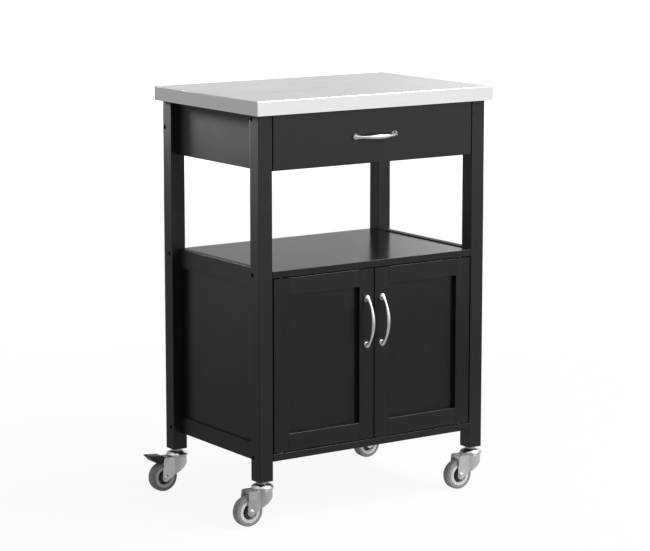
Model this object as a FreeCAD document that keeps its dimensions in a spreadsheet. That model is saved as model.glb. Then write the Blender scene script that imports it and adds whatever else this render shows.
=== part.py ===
import FreeCAD, Part
import os
import Sketcher

# Kitchen cart: a wooden frame on four swivel casters, with a drawer under a steel-clad
# worktop, an open bay, and a cabinet with two frame-and-panel doors.
# Millimetres, +X to the right, +Y to the rear, +Z up. The origin lies on the floor under
# the centre of the worktop.

# Driving dimensions, one cell of the sheet each
SIZES = {
    # Worktop: a board core in a steel skin
    "top_height": 900.0,
    "top_thickness": 30.0,
    "top_side_overhang": 12.0,
    "top_end_overhang": 15.0,
    "skin_thickness": 0.8,
    "skin_corner_round": 5.0,
    "skin_edge_round": 2.5,
    # Legs and the frame over their outer faces
    "frame_width": 588.0,
    "frame_depth": 386.0,
    "leg_width": 34.0,
    "leg_base": 93.0,
    "leg_round": 1.6,
    # Rails between the legs
    "rail_thickness": 16.0,
    "apron_height": 117.5,
    "mid_rail_height": 41.5,
    "mid_rail_rise": 2.5,
    "low_rail_height": 37.0,
    "low_rail_base": 130.0,
    "board_round": 1.0,
    "strip_width": 20.0,
    "strip_height": 20.0,
    "strip_gap": 0.5,
    # Side panels, back panel, shelf and bottom board
    "side_panel_thickness": 5.0,
    "side_panel_inset": 5.0,
    "back_thickness": 3.0,
    "shelf_height": 541.5,
    "shelf_thickness": 15.0,
    "shelf_gap": 0.8,
    "shelf_setback": 13.0,
    "bottom_height": 150.0,
    "bottom_thickness": 15.4,
    # Bolts through the legs
    "bolt_radius": 3.0,
    "bolt_head_radius": 5.0,
    "bolt_head_height": 4.0,
    "bolt_recess": 6.5,
    "bolt_length": 48.0,
    "bolt_inset_front": 25.7,
    "bolt_inset_rear": 22.2,
    "bolt_clearance": 0.1,
    "bolt_key_radius": 2.6,
    "bolt_key_depth": 2.4,
    # Drawer
    "drawer_front_thickness": 16.0,
    "drawer_front_height": 116.0,
    "drawer_side_gap": 2.2,
    "drawer_top_gap": 2.0,
    "drawer_box_rise": 10.0,
    "drawer_box_height": 80.0,
    "drawer_box_rear_gap": 29.0,
    "drawer_board": 12.0,
    "drawer_bottom_thickness": 5.0,
    "drawer_bottom_rise": 6.0,
    "drawer_groove": 5.0,
    "groove_clearance": 0.2,
    # Drawer slides, three nested channels on each side
    "slide_depth": 12.7,
    "slide_height": 35.0,
    "slide_rear_gap": 53.5,
    "slide_metal_thickness": 1.2,
    "slide_gap": 0.4,
    "slide_centre_rise": 38.0,
    # Doors
    "door_thickness": 18.0,
    "door_side_gap": 2.8,
    "door_middle_gap": 2.4,
    "door_top_gap": 1.8,
    "door_bottom_gap": 2.0,
    "stile_width": 37.5,
    "door_panel_thickness": 4.6,
    "door_panel_recess": 10.6,
    "door_groove": 6.0,
    # Door pivots, a pin in each board and a bush in each end of the hinge stile
    "pivot_inset": 22.0,
    "pivot_pin_radius": 3.0,
    "pivot_clearance": 0.05,
    "pivot_pin_hold": 10.0,
    "pivot_pin_reach": 9.0,
    "pivot_bush_radius": 5.5,
    "pivot_bush_length": 11.0,
    "pivot_collar_radius": 5.0,
    "pivot_collar_clearance": 0.3,
    # Door catches
    "catch_width": 44.0,
    "catch_depth": 12.0,
    "catch_height": 11.0,
    "strike_thickness": 1.2,
    "strike_width": 16.0,
    "strike_inset": 3.0,
    "catch_gap": 0.3,
    # Bow handles
    "handle_span": 102.0,
    "handle_projection": 28.0,
    "handle_width": 9.0,
    "handle_thickness": 5.0,
    "handle_foot_radius": 7.5,
    "handle_foot_height": 3.0,
    "handle_neck_radius": 4.2,
    "handle_neck_height": 7.5,
    "handle_screw_radius": 2.0,
    "handle_screw_bite": 5.0,
    "handle_screw_head_radius": 4.2,
    "handle_screw_head_height": 2.2,
    "handle_screw_clearance": 0.1,
    "door_handle_drop": 114.7,
    # Casters: stem and raceway
    "wheel_radius": 32.5,
    "wheel_width": 22.0,
    "caster_trail": 37.0,
    "stem_radius": 5.0,
    "stem_reach": 28.0,
    "stem_clearance": 0.1,
    "stem_nut_radius": 11.0,
    "stem_nut_height": 5.5,
    "raceway_radius": 24.5,
    "raceway_top_radius": 13.0,
    "raceway_rim": 3.2,
    "raceway_gap": 0.4,
    "kingpin_radius": 4.0,
    "kingpin_clearance": 0.05,
    "kingpin_head_radius": 7.0,
    "kingpin_head_height": 2.0,
    # Casters: fork
    "fork_crown_height": 77.0,
    "fork_metal_thickness": 2.2,
    "fork_crown_radius": 22.0,
    "fork_half_width": 16.2,
    "fork_skirt": 14.0,
    "fork_boss_radius": 9.0,
    "fork_ear_rear": 42.0,
    "fork_crown_rear": 19.0,
    # Casters: axle, hub and tyre
    "axle_radius": 4.0,
    "axle_clearance": 0.05,
    "axle_nut_radius": 6.5,
    "axle_nut_height": 4.5,
    "hub_boss_radius": 8.5,
    "hub_boss_gap": 0.4,
    "hub_web_thickness": 7.0,
    "hub_rim_inner": 17.0,
    "hub_rim_outer": 24.5,
    "tyre_round": 4.5,
    # Brake pedals of the rear casters
    "pedal_pin_back": 34.0,
    "pedal_pin_height": 71.5,
    "pedal_pin_radius": 2.2,
    "pedal_pin_clearance": 0.05,
    "pedal_pin_head_radius": 3.6,
    "pedal_pin_head_height": 1.4,
    "pedal_barrel_radius": 4.4,
    "pedal_half_width": 13.5,
    "pedal_knee_back": 44.0,
    "pedal_knee_height": 82.5,
    "pedal_reach": 78.0,
    "pedal_tip_height": 86.0,
    "pedal_tip_thickness": 2.4,
    "pedal_heel_back": 72.0,
    "pedal_heel_height": 77.5,
    "pedal_step_back": 67.0,
    "pedal_step_height": 72.0,
    "pedal_shoe_back": 58.5,
    "pedal_shoe_front": 50.0,
    "pedal_shoe_height": 67.5,
}

LEFT = -1
RIGHT = 1
FRONT = -1
REAR = 1
SIDE_NAMES = {LEFT: "left", RIGHT: "right"}
END_NAMES = {FRONT: "front", REAR: "rear"}
CORNERS = [(end, side) for end in (FRONT, REAR) for side in (LEFT, RIGHT)]
FULL_TURN = 360
QUARTER_TURN = 90
HEXAGON_SIDE_COUNT = 6
SAME_DIRECTION_SHARE = 0.999

# Places shared by several pieces, written as expressions on the sheet
LEG_OUTER = "(Sizes.frame_width / 2)"
LEG_INNER = "(Sizes.frame_width / 2 - Sizes.leg_width)"
LEG_CENTRE_X = "(Sizes.frame_width / 2 - Sizes.leg_width / 2)"
LEG_CENTRE_Y = "(Sizes.frame_depth / 2 - Sizes.leg_width / 2)"
RAIL_OUTER = "(Sizes.frame_width / 2 - Sizes.leg_width + Sizes.rail_thickness)"
FRAME_END = "(Sizes.frame_depth / 2)"
RAIL_END = "(Sizes.frame_depth / 2 - Sizes.leg_width)"
TOP_SIDE = f"({LEG_OUTER} + Sizes.top_side_overhang)"
TOP_END = f"({FRAME_END} + Sizes.top_end_overhang)"
UNDERSIDE = "(Sizes.top_height - Sizes.top_thickness)"
APRON_BASE = f"({UNDERSIDE} - Sizes.apron_height)"
DRAWER_BACK_OF_FRONT = f"(Sizes.drawer_front_thickness - {FRAME_END})"
DRAWER_TOP = f"({UNDERSIDE} - Sizes.drawer_top_gap)"
DRAWER_BASE = f"({DRAWER_TOP} - Sizes.drawer_front_height)"
BOX_BASE = f"({DRAWER_BASE} + Sizes.drawer_box_rise)"
BOX_TOP = f"({BOX_BASE} + Sizes.drawer_box_height)"
STRIP_FRONT = f"({DRAWER_BACK_OF_FRONT} + Sizes.strip_gap)"
SHELF_SIDE = f"({LEG_INNER} - Sizes.shelf_gap)"
SHELF_REAR = f"({FRAME_END} - Sizes.shelf_setback)"
SHELF_UNDER = "(Sizes.shelf_height - Sizes.shelf_thickness)"
BOTTOM_UNDER = "(Sizes.bottom_height - Sizes.bottom_thickness)"
DOOR_BASE = "(Sizes.bottom_height + Sizes.door_bottom_gap)"
DOOR_TOP = f"({SHELF_UNDER} - Sizes.door_top_gap)"
DOOR_BACK = f"(Sizes.door_thickness - {FRAME_END})"
DOOR_OUTER = f"({LEG_INNER} - Sizes.door_side_gap)"
DOOR_INNER = "(Sizes.door_middle_gap / 2)"
PIVOT_X = f"({DOOR_OUTER} - Sizes.pivot_inset)"
PIVOT_Y = f"(Sizes.door_thickness / 2 - {FRAME_END})"
BOX_SIDE = f"({LEG_INNER} - Sizes.slide_depth)"
BOX_INNER = f"({BOX_SIDE} - Sizes.drawer_board)"
APRON_FRONT = f"({FRAME_END} - Sizes.rail_thickness)"
BOX_REAR = f"({APRON_FRONT} - Sizes.drawer_box_rear_gap)"
SLIDE_REAR = f"({APRON_FRONT} - Sizes.slide_rear_gap)"
HANDLE_STILE_X = f"({DOOR_INNER} + Sizes.stile_width / 2)"
DRAWER_HANDLE_HEIGHT = f"({DRAWER_BASE} + Sizes.drawer_front_height / 2)"
DOOR_HANDLE_HEIGHT = f"({DOOR_TOP} - Sizes.door_handle_drop)"
EAR_INNER = "(Sizes.fork_half_width - Sizes.fork_metal_thickness)"

# The three bolts down each leg, as (distance along Y, height) on the outer face
BOLTS = {
    FRONT: [
        (f"({STRIP_FRONT} + Sizes.strip_width / 2)", f"({UNDERSIDE} - Sizes.strip_height / 2)"),
        (f"(Sizes.bolt_inset_front - {FRAME_END})", f"({SHELF_UNDER} + Sizes.shelf_thickness / 2)"),
        (f"(Sizes.bolt_inset_front - {FRAME_END})", f"({BOTTOM_UNDER} + Sizes.bottom_thickness / 2)"),
    ],
    REAR: [
        (f"({FRAME_END} - Sizes.rail_thickness / 2)", f"({UNDERSIDE} - Sizes.apron_height / 2)"),
        (f"({FRAME_END} - Sizes.bolt_inset_rear)", f"({SHELF_UNDER} + Sizes.shelf_thickness / 2)"),
        (f"({FRAME_END} - Sizes.bolt_inset_rear)", f"({BOTTOM_UNDER} + Sizes.bottom_thickness / 2)"),
    ],
}

# The handle's bow: shares of the half span, of the projection, and of the middle width
BOW_ALONG_SHARES = [-1.0, -0.9, -0.68, -0.36, 0.0, 0.36, 0.68, 0.9, 1.0]
BOW_OUT_SHARES = [0.16, 0.46, 0.74, 0.94, 1.0, 0.94, 0.74, 0.46, 0.16]
BOW_WIDTH_SHARES = [0.66, 0.62, 0.74, 0.93, 1.0, 0.93, 0.74, 0.62, 0.66]

# The neck where it meets the foot, as a share of the foot's radius
NECK_BASE_SHARE = 0.8

# Where the slanting lower edge of the fork meets the boss, as shares of the boss radius
BOSS_TOUCH_SHARES = (0.67, 0.74)

document = FreeCAD.newDocument("kitchen_cart")
nodes = []


# Helpers for the sheet, sketches and features

def make_sheet():
    """Writes each driving dimension to a cell of the sheet under its own alias."""
    sheet = document.addObject("Spreadsheet::Sheet", "Sizes")
    for row, (name, value) in enumerate(SIZES.items(), start=1):
        sheet.set(f"A{row}", str(value))
        sheet.setAlias(f"A{row}", name)
    document.recompute()
    return sheet


def size(expression):
    """The number that an expression on the sheet comes to."""
    return float(sheet.evalExpression(expression))


def place(item, x="0", y="0", z="0"):
    """Binds an object's position to three expressions."""
    for axis, expression in zip("xyz", (x, y, z)):
        item.setExpression(f".Placement.Base.{axis}", expression)
    return item


def new_body(label, x="0", y="0", z="0"):
    body = document.addObject("PartDesign::Body", label)
    body.Label = label
    return place(body, x, y, z)


def new_sketch(body, plane, offset="0"):
    """An empty sketch on one of the body's own origin planes, lifted along its normal."""
    sketch = body.newObject("Sketcher::SketchObject", "Sketch")
    support = next(item for item in body.Origin.OriginFeatures if item.Role == plane)
    sketch.AttachmentSupport = (support, [""])
    sketch.MapMode = "FlatFace"
    sketch.setExpression(".AttachmentOffset.Base.z", offset)
    return sketch


def bind_point(sketch, geometry, point, across, up):
    """Ties a sketch point to two expressions, measured from the sketch's origin."""
    for kind, expression in (("DistanceX", across), ("DistanceY", up)):
        constraint = Sketcher.Constraint(kind, -1, 1, geometry, point, size(expression))
        number = sketch.addConstraint(constraint)
        sketch.setExpression(f"Constraints[{number}]", expression)


def draw_polygon(sketch, points):
    """A closed outline of straight lines through points given as pairs of expressions."""
    corners = [FreeCAD.Vector(size(across), size(up), 0) for across, up in points]
    lines = []
    for start, end in zip(corners, corners[1:] + corners[:1]):
        lines.append(sketch.addGeometry(Part.LineSegment(start, end), False))
    for line, following in zip(lines, lines[1:] + lines[:1]):
        sketch.addConstraint(Sketcher.Constraint("Coincident", line, 2, following, 1))
    for line, (across, up) in zip(lines, points):
        bind_point(sketch, line, 1, across, up)
    return sketch


def draw_rectangle(sketch, left, low, right, high):
    return draw_polygon(sketch, [(left, low), (right, low), (right, high), (left, high)])


def draw_circle(sketch, across, up, radius):
    centre = FreeCAD.Vector(size(across), size(up), 0)
    circle = Part.Circle(centre, FreeCAD.Vector(0, 0, 1), size(radius))
    geometry = sketch.addGeometry(circle, False)
    constraint = Sketcher.Constraint("Radius", geometry, size(radius))
    number = sketch.addConstraint(constraint)
    sketch.setExpression(f"Constraints[{number}]", radius)
    bind_point(sketch, geometry, 3, across, up)
    return sketch


def draw_keyhole(sketch, radius, half_width, rear):
    """A plan outline: round in front about the origin, then straight sides back to rear."""
    round_radius = size(radius)
    half = size(half_width)
    meet = (round_radius**2 - half**2) ** 0.5
    back = size(rear)
    start = FreeCAD.Vector(-meet, -half, 0)
    front = FreeCAD.Vector(round_radius, 0, 0)
    end = FreeCAD.Vector(-meet, half, 0)
    low_corner = FreeCAD.Vector(back, -half, 0)
    high_corner = FreeCAD.Vector(back, half, 0)
    arc = sketch.addGeometry(Part.Arc(start, front, end), False)
    upper = sketch.addGeometry(Part.LineSegment(end, high_corner), False)
    rear_line = sketch.addGeometry(Part.LineSegment(high_corner, low_corner), False)
    lower = sketch.addGeometry(Part.LineSegment(low_corner, start), False)
    sketch.addConstraint(Sketcher.Constraint("Coincident", arc, 3, -1, 1))
    sketch.addConstraint(Sketcher.Constraint("Coincident", arc, 2, upper, 1))
    sketch.addConstraint(Sketcher.Constraint("Coincident", upper, 2, rear_line, 1))
    sketch.addConstraint(Sketcher.Constraint("Coincident", rear_line, 2, lower, 1))
    sketch.addConstraint(Sketcher.Constraint("Coincident", lower, 2, arc, 1))
    sketch.addConstraint(Sketcher.Constraint("Horizontal", upper))
    sketch.addConstraint(Sketcher.Constraint("Horizontal", lower))
    number = sketch.addConstraint(Sketcher.Constraint("Radius", arc, round_radius))
    sketch.setExpression(f"Constraints[{number}]", radius)
    bind_point(sketch, rear_line, 1, rear, half_width)
    bind_point(sketch, rear_line, 2, rear, f"-{half_width}")
    return sketch


def add_pad(body, sketch, length, reverse=False, middle=False):
    pad = body.newObject("PartDesign::Pad", "Pad")
    pad.Profile = sketch
    pad.setExpression("Length", length)
    pad.Reversed = reverse
    pad.Midplane = middle
    document.recompute()
    return pad


def add_pocket(body, sketch, depth, reverse=False, middle=False):
    """Cuts the sketch into the body and makes sure that it took material away."""
    volume_before = body.Shape.Volume
    pocket = body.newObject("PartDesign::Pocket", "Pocket")
    pocket.Profile = sketch
    pocket.setExpression("Length", depth)
    pocket.Reversed = reverse
    pocket.Midplane = middle
    document.recompute()
    if body.Shape.Volume >= volume_before:
        raise RuntimeError(f"a pocket in {body.Label} cuts nothing")
    return pocket


def add_revolution(body, sketch):
    revolution = body.newObject("PartDesign::Revolution", "Revolution")
    revolution.Profile = sketch
    revolution.ReferenceAxis = (sketch, ["V_Axis"])
    revolution.Angle = FULL_TURN
    document.recompute()
    return revolution


def add_fillet(body, names, radius):
    """Rounds the named edges or faces of the body's last feature."""
    base = body.Tip
    fillet = body.newObject("PartDesign::Fillet", "Fillet")
    fillet.Base = (base, names)
    fillet.setExpression("Radius", radius)
    document.recompute()
    return fillet


def round_edges(body, axes, radius):
    """Rounds the straight edges of the body that lie along any of the given axes."""
    names = []
    for number, edge in enumerate(body.Shape.Edges, start=1):
        direction = edge.tangentAt(edge.FirstParameter)
        if any(abs(direction.dot(axis)) > SAME_DIRECTION_SHARE for axis in axes):
            names.append(f"Edge{number}")
    return add_fillet(body, names, radius)


def board(label, low, high):
    """A rectangular board between two corners, each three expressions."""
    body = new_body(label, *low)
    width, depth, height = [f"({end} - {start})" for start, end in zip(low, high)]
    sketch = new_sketch(body, "XY_Plane")
    draw_rectangle(sketch, "0", "0", width, depth)
    add_pad(body, sketch, height)
    return body


ALONG_X = FreeCAD.Vector(1, 0, 0)
ALONG_Y = FreeCAD.Vector(0, 1, 0)
ALONG_Z = FreeCAD.Vector(0, 0, 1)


def end_holes(body, low, high, points):
    """Bolt holes in both X ends of a board whose corners are low and high."""
    depth = "(Sizes.bolt_length - Sizes.leg_width + Sizes.bolt_recess)"
    radius = "(Sizes.bolt_radius + Sizes.bolt_clearance)"
    for face, reverse in (("0", True), (f"({high[0]} - {low[0]})", False)):
        sketch = new_sketch(body, "YZ_Plane", face)
        for along, up in points:
            draw_circle(sketch, f"({along} - {low[1]})", f"({up} - {low[2]})", radius)
        add_pocket(body, sketch, depth, reverse=reverse)


def cylinder(label, radius, height, direction=None):
    item = document.addObject("Part::Cylinder", label)
    item.Label = label
    item.setExpression("Radius", radius)
    item.setExpression("Height", height)
    if direction is not None:
        item.Placement = FreeCAD.Placement(FreeCAD.Vector(), FreeCAD.Rotation(ALONG_Z, direction))
    return item


def fuse(label, items):
    item = document.addObject("Part::MultiFuse", label)
    item.Label = label
    item.Shapes = items
    return item


def cut(label, base, tool):
    item = document.addObject("Part::Cut", label)
    item.Label = label
    item.Base = base
    item.Tool = tool
    return item


def group(label, items):
    """Separate solids kept together as one node."""
    item = document.addObject("Part::Compound", label)
    item.Label = label
    item.Links = items
    return keep(item)


def keep(item):
    """Lists a finished sub-part for export."""
    nodes.append(item)
    return item


# Frame

def make_leg(end, side):
    label = f"leg_{END_NAMES[end]}_{SIDE_NAMES[side]}"
    centre_y = f"({end} * {LEG_CENTRE_Y})"
    body = new_body(label, f"{side} * {LEG_CENTRE_X}", centre_y, "Sizes.leg_base")
    half = "Sizes.leg_width / 2"
    sketch = new_sketch(body, "XY_Plane")
    draw_rectangle(sketch, f"-{half}", f"-{half}", half, half)
    add_pad(body, sketch, f"{UNDERSIDE} - Sizes.leg_base")
    round_edges(body, [ALONG_Z], "Sizes.leg_round")
    socket = new_sketch(body, "XY_Plane")
    draw_circle(socket, "0", "0", "(Sizes.stem_radius + Sizes.stem_clearance)")
    add_pocket(body, socket, "(Sizes.stem_reach + Sizes.stem_clearance)", reverse=True)
    outer_face = f"({side} * {half})"
    for radius, depth in (
        ("(Sizes.bolt_head_radius + Sizes.bolt_clearance)", "Sizes.bolt_recess"),
        ("(Sizes.bolt_radius + Sizes.bolt_clearance)", "Sizes.leg_width"),
    ):
        holes = new_sketch(body, "YZ_Plane", outer_face)
        for along, up in BOLTS[end]:
            draw_circle(holes, f"({along} - {centre_y})", f"({up} - Sizes.leg_base)", radius)
        add_pocket(body, holes, depth, reverse=(side == LEFT))
    return keep(body)


def make_side_board(label, side, inner, outer, base, top):
    """A rail or panel between the front and rear leg of one side."""
    near, far = (inner, outer) if side == RIGHT else (f"-{outer}", f"-{inner}")
    body = board(label, (near, f"-{RAIL_END}", base), (far, RAIL_END, top))
    return keep(body)


def make_side_frame(side):
    name = SIDE_NAMES[side]
    apron = make_side_board(f"apron_{name}", side, LEG_INNER, RAIL_OUTER, APRON_BASE, UNDERSIDE)
    mid_top = "(Sizes.shelf_height + Sizes.mid_rail_rise)"
    mid_base = f"({mid_top} - Sizes.mid_rail_height)"
    mid = make_side_board(f"mid_rail_{name}", side, LEG_INNER, RAIL_OUTER, mid_base, mid_top)
    low_top = "(Sizes.low_rail_base + Sizes.low_rail_height)"
    low = make_side_board(f"low_rail_{name}", side, LEG_INNER, RAIL_OUTER, "Sizes.low_rail_base", low_top)
    for rail in (apron, mid, low):
        round_edges(rail, [ALONG_Y], "Sizes.board_round")
    panel_outer = f"({RAIL_OUTER} - Sizes.side_panel_inset)"
    panel_inner = f"({panel_outer} - Sizes.side_panel_thickness)"
    make_side_board(f"side_panel_{name}", side, panel_inner, panel_outer, low_top, mid_base)


def make_rear_apron():
    low = (f"-{LEG_INNER}", APRON_FRONT, APRON_BASE)
    high = (LEG_INNER, FRAME_END, UNDERSIDE)
    body = board("apron_rear", low, high)
    round_edges(body, [ALONG_X], "Sizes.board_round")
    end_holes(body, low, high, BOLTS[REAR][:1])
    return keep(body)


def make_front_strip():
    low = (f"-{LEG_INNER}", STRIP_FRONT, f"({UNDERSIDE} - Sizes.strip_height)")
    high = (LEG_INNER, f"({STRIP_FRONT} + Sizes.strip_width)", UNDERSIDE)
    body = board("front_strip", low, high)
    end_holes(body, low, high, BOLTS[FRONT][:1])
    return keep(body)


def pivot_holes(body, low, face, reverse):
    """Holes for the two door pivot pins in one flat side of a cabinet board."""
    sketch = new_sketch(body, "XY_Plane", face)
    for side in (LEFT, RIGHT):
        across = f"({side} * {PIVOT_X} - {low[0]})"
        draw_circle(sketch, across, f"({PIVOT_Y} - {low[1]})", "Sizes.pivot_pin_radius")
    add_pocket(body, sketch, "Sizes.pivot_pin_hold", reverse=reverse)


def make_cabinet_board(label, base, top, bolt_row, pins_above):
    """The shelf or the bottom board, with its bolt holes and its pivot holes."""
    low = (f"-{SHELF_SIDE}", f"-{FRAME_END}", base)
    high = (SHELF_SIDE, SHELF_REAR, top)
    body = board(label, low, high)
    round_edges(body, [ALONG_X], "Sizes.board_round")
    end_holes(body, low, high, [BOLTS[FRONT][bolt_row], BOLTS[REAR][bolt_row]])
    if pins_above:
        pivot_holes(body, low, f"({top} - {base})", False)
    else:
        pivot_holes(body, low, "0", True)
    return keep(body)


def make_back_panel():
    low = (f"-{SHELF_SIDE}", SHELF_REAR, BOTTOM_UNDER)
    high = (SHELF_SIDE, f"({SHELF_REAR} + Sizes.back_thickness)", "(Sizes.shelf_height - Sizes.board_round)")
    return keep(board("back_panel", low, high))


def make_bolt(end, side, number, along, up):
    """One socket-head bolt, its head at the bottom of the counterbore in the leg."""
    label = f"bolt_{END_NAMES[end]}_{SIDE_NAMES[side]}_{number}"
    inward = FreeCAD.Vector(-side, 0, 0)
    seat = f"({LEG_OUTER} - Sizes.bolt_recess)"
    head_face = f"({seat} + Sizes.bolt_head_height)"
    head = cylinder(f"{label}_head", "Sizes.bolt_head_radius", "Sizes.bolt_head_height", inward)
    place(head, f"{side} * {head_face}", along, up)
    shank = cylinder(f"{label}_shank", "Sizes.bolt_radius", "Sizes.bolt_length", inward)
    place(shank, f"{side} * {seat}", along, up)
    key = document.addObject("Part::Prism", f"{label}_key")
    key.Label = f"{label}_key"
    key.Polygon = HEXAGON_SIDE_COUNT
    key.setExpression("Circumradius", "Sizes.bolt_key_radius")
    key.setExpression("Height", "Sizes.bolt_key_depth")
    key.Placement = FreeCAD.Placement(FreeCAD.Vector(), FreeCAD.Rotation(ALONG_Z, inward))
    place(key, f"{side} * {head_face}", along, up)
    return cut(label, fuse(f"{label}_blank", [head, shank]), key)


def make_frame_bolts():
    bolts = []
    for end, side in CORNERS:
        for number, (along, up) in enumerate(BOLTS[end]):
            bolts.append(make_bolt(end, side, number, along, up))
    return group("frame_bolts", bolts)


# Worktop

def rounded_slab(label, half_width, half_depth, height, corner_round, edge_round):
    """A slab standing on the frame, rounded at its four corners and round its top edge."""
    body = new_body(label, z=UNDERSIDE)
    sketch = new_sketch(body, "XY_Plane")
    draw_rectangle(sketch, f"-{half_width}", f"-{half_depth}", half_width, half_depth)
    add_pad(body, sketch, height)
    round_edges(body, [ALONG_Z], corner_round)
    numbered_faces = enumerate(body.Shape.Faces, start=1)
    top_number, _ = max(numbered_faces, key=lambda pair: pair[1].CenterOfMass.z)
    add_fillet(body, [f"Face{top_number}"], edge_round)
    return body


def make_worktop():
    """The board core and the steel skin drawn over its top and its four edges."""
    core = rounded_slab(
        "worktop_core",
        f"({TOP_SIDE} - Sizes.skin_thickness)",
        f"({TOP_END} - Sizes.skin_thickness)",
        "(Sizes.top_thickness - Sizes.skin_thickness)",
        "(Sizes.skin_corner_round - Sizes.skin_thickness)",
        "(Sizes.skin_edge_round - Sizes.skin_thickness)",
    )
    blank = rounded_slab(
        "skin_blank",
        TOP_SIDE,
        TOP_END,
        "Sizes.top_thickness",
        "Sizes.skin_corner_round",
        "Sizes.skin_edge_round",
    )
    keep(core)
    keep(cut("worktop_skin", blank, core))


# Drawer

def make_drawer_front():
    half_width = f"({LEG_INNER} - Sizes.drawer_side_gap)"
    low = (f"-{half_width}", f"-{FRAME_END}", DRAWER_BASE)
    high = (half_width, DRAWER_BACK_OF_FRONT, DRAWER_TOP)
    body = board("drawer_front", low, high)
    round_edges(body, [ALONG_X, ALONG_Z], "Sizes.board_round")
    holes = new_sketch(body, "XZ_Plane")
    for way in (LEFT, RIGHT):
        across = f"({way} * Sizes.handle_span / 2 - {low[0]})"
        radius = "(Sizes.handle_screw_radius + Sizes.handle_screw_clearance)"
        draw_circle(holes, across, "Sizes.drawer_front_height / 2", radius)
    add_pocket(body, holes, "Sizes.drawer_front_thickness")
    return keep(body)


def make_drawer_side(side):
    near, far = (BOX_INNER, BOX_SIDE) if side == RIGHT else (f"-{BOX_SIDE}", f"-{BOX_INNER}")
    low = (near, DRAWER_BACK_OF_FRONT, BOX_BASE)
    body = board(f"drawer_side_{SIDE_NAMES[side]}", low, (far, BOX_REAR, BOX_TOP))
    groove_face = "0" if side == RIGHT else "Sizes.drawer_board"
    groove = new_sketch(body, "YZ_Plane", groove_face)
    groove_top = "(Sizes.drawer_bottom_rise + Sizes.drawer_bottom_thickness + Sizes.groove_clearance)"
    depth = f"({BOX_REAR} - Sizes.drawer_board - {DRAWER_BACK_OF_FRONT})"
    draw_rectangle(groove, "0", "Sizes.drawer_bottom_rise", depth, groove_top)
    add_pocket(body, groove, "Sizes.drawer_groove", reverse=(side == RIGHT))
    return keep(body)


def make_drawer_back():
    low = (f"-{BOX_INNER}", f"({BOX_REAR} - Sizes.drawer_board)", BOX_BASE)
    return keep(board("drawer_back", low, (BOX_INNER, BOX_REAR, BOX_TOP)))


def make_drawer_bottom():
    half_width = f"({BOX_INNER} + Sizes.drawer_groove - Sizes.groove_clearance)"
    base = f"({BOX_BASE} + Sizes.drawer_bottom_rise)"
    low = (f"-{half_width}", DRAWER_BACK_OF_FRONT, base)
    high = (half_width, f"({BOX_REAR} - Sizes.drawer_board)", f"({base} + Sizes.drawer_bottom_thickness)")
    return keep(board("drawer_bottom", low, high))


def channel(label, side, web_outer, web_inner, flange_end, half_height):
    """A rolled channel along Y: a web between two distances from the middle, and flanges."""
    body = new_body(label, "0", STRIP_FRONT, f"({BOX_BASE} + Sizes.slide_centre_rise)")
    sketch = new_sketch(body, "XZ_Plane")
    inside = f"({half_height} - Sizes.slide_metal_thickness)"
    draw_polygon(
        sketch,
        [
            (f"{side} * {web_outer}", f"-{half_height}"),
            (f"{side} * {web_outer}", half_height),
            (f"{side} * {flange_end}", half_height),
            (f"{side} * {flange_end}", inside),
            (f"{side} * {web_inner}", inside),
            (f"{side} * {web_inner}", f"-{inside}"),
            (f"{side} * {flange_end}", f"-{inside}"),
            (f"{side} * {flange_end}", f"-{half_height}"),
        ],
    )
    add_pad(body, sketch, f"({SLIDE_REAR} - {STRIP_FRONT})", reverse=True)
    return body


def make_slides():
    """Cabinet, middle and drawer members, nested with a running gap, left and right."""
    step = "(Sizes.slide_metal_thickness + Sizes.slide_gap)"
    outer_half = "(Sizes.slide_height / 2)"
    middle_half = f"({outer_half} - {step})"
    drawer_half = f"({middle_half} - {step})"
    middle_web = f"({LEG_INNER} - {step})"
    drawer_tip = f"({middle_web} - {step})"
    flange_end = f"({BOX_SIDE} + {step})"
    members = {"slide_cabinet_members": [], "slide_middle_members": [], "slide_drawer_members": []}
    for side in (LEFT, RIGHT):
        name = SIDE_NAMES[side]
        cabinet = channel(
            f"slide_cabinet_{name}",
            side,
            LEG_INNER,
            f"({LEG_INNER} - Sizes.slide_metal_thickness)",
            flange_end,
            outer_half,
        )
        middle = channel(
            f"slide_middle_{name}",
            side,
            middle_web,
            f"({middle_web} - Sizes.slide_metal_thickness)",
            flange_end,
            middle_half,
        )
        drawer = channel(
            f"slide_drawer_{name}",
            side,
            BOX_SIDE,
            f"({BOX_SIDE} + Sizes.slide_metal_thickness)",
            drawer_tip,
            drawer_half,
        )
        members["slide_cabinet_members"].append(cabinet)
        members["slide_middle_members"].append(middle)
        members["slide_drawer_members"].append(drawer)
    for label, channels in members.items():
        group(label, channels)


# Doors

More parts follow.
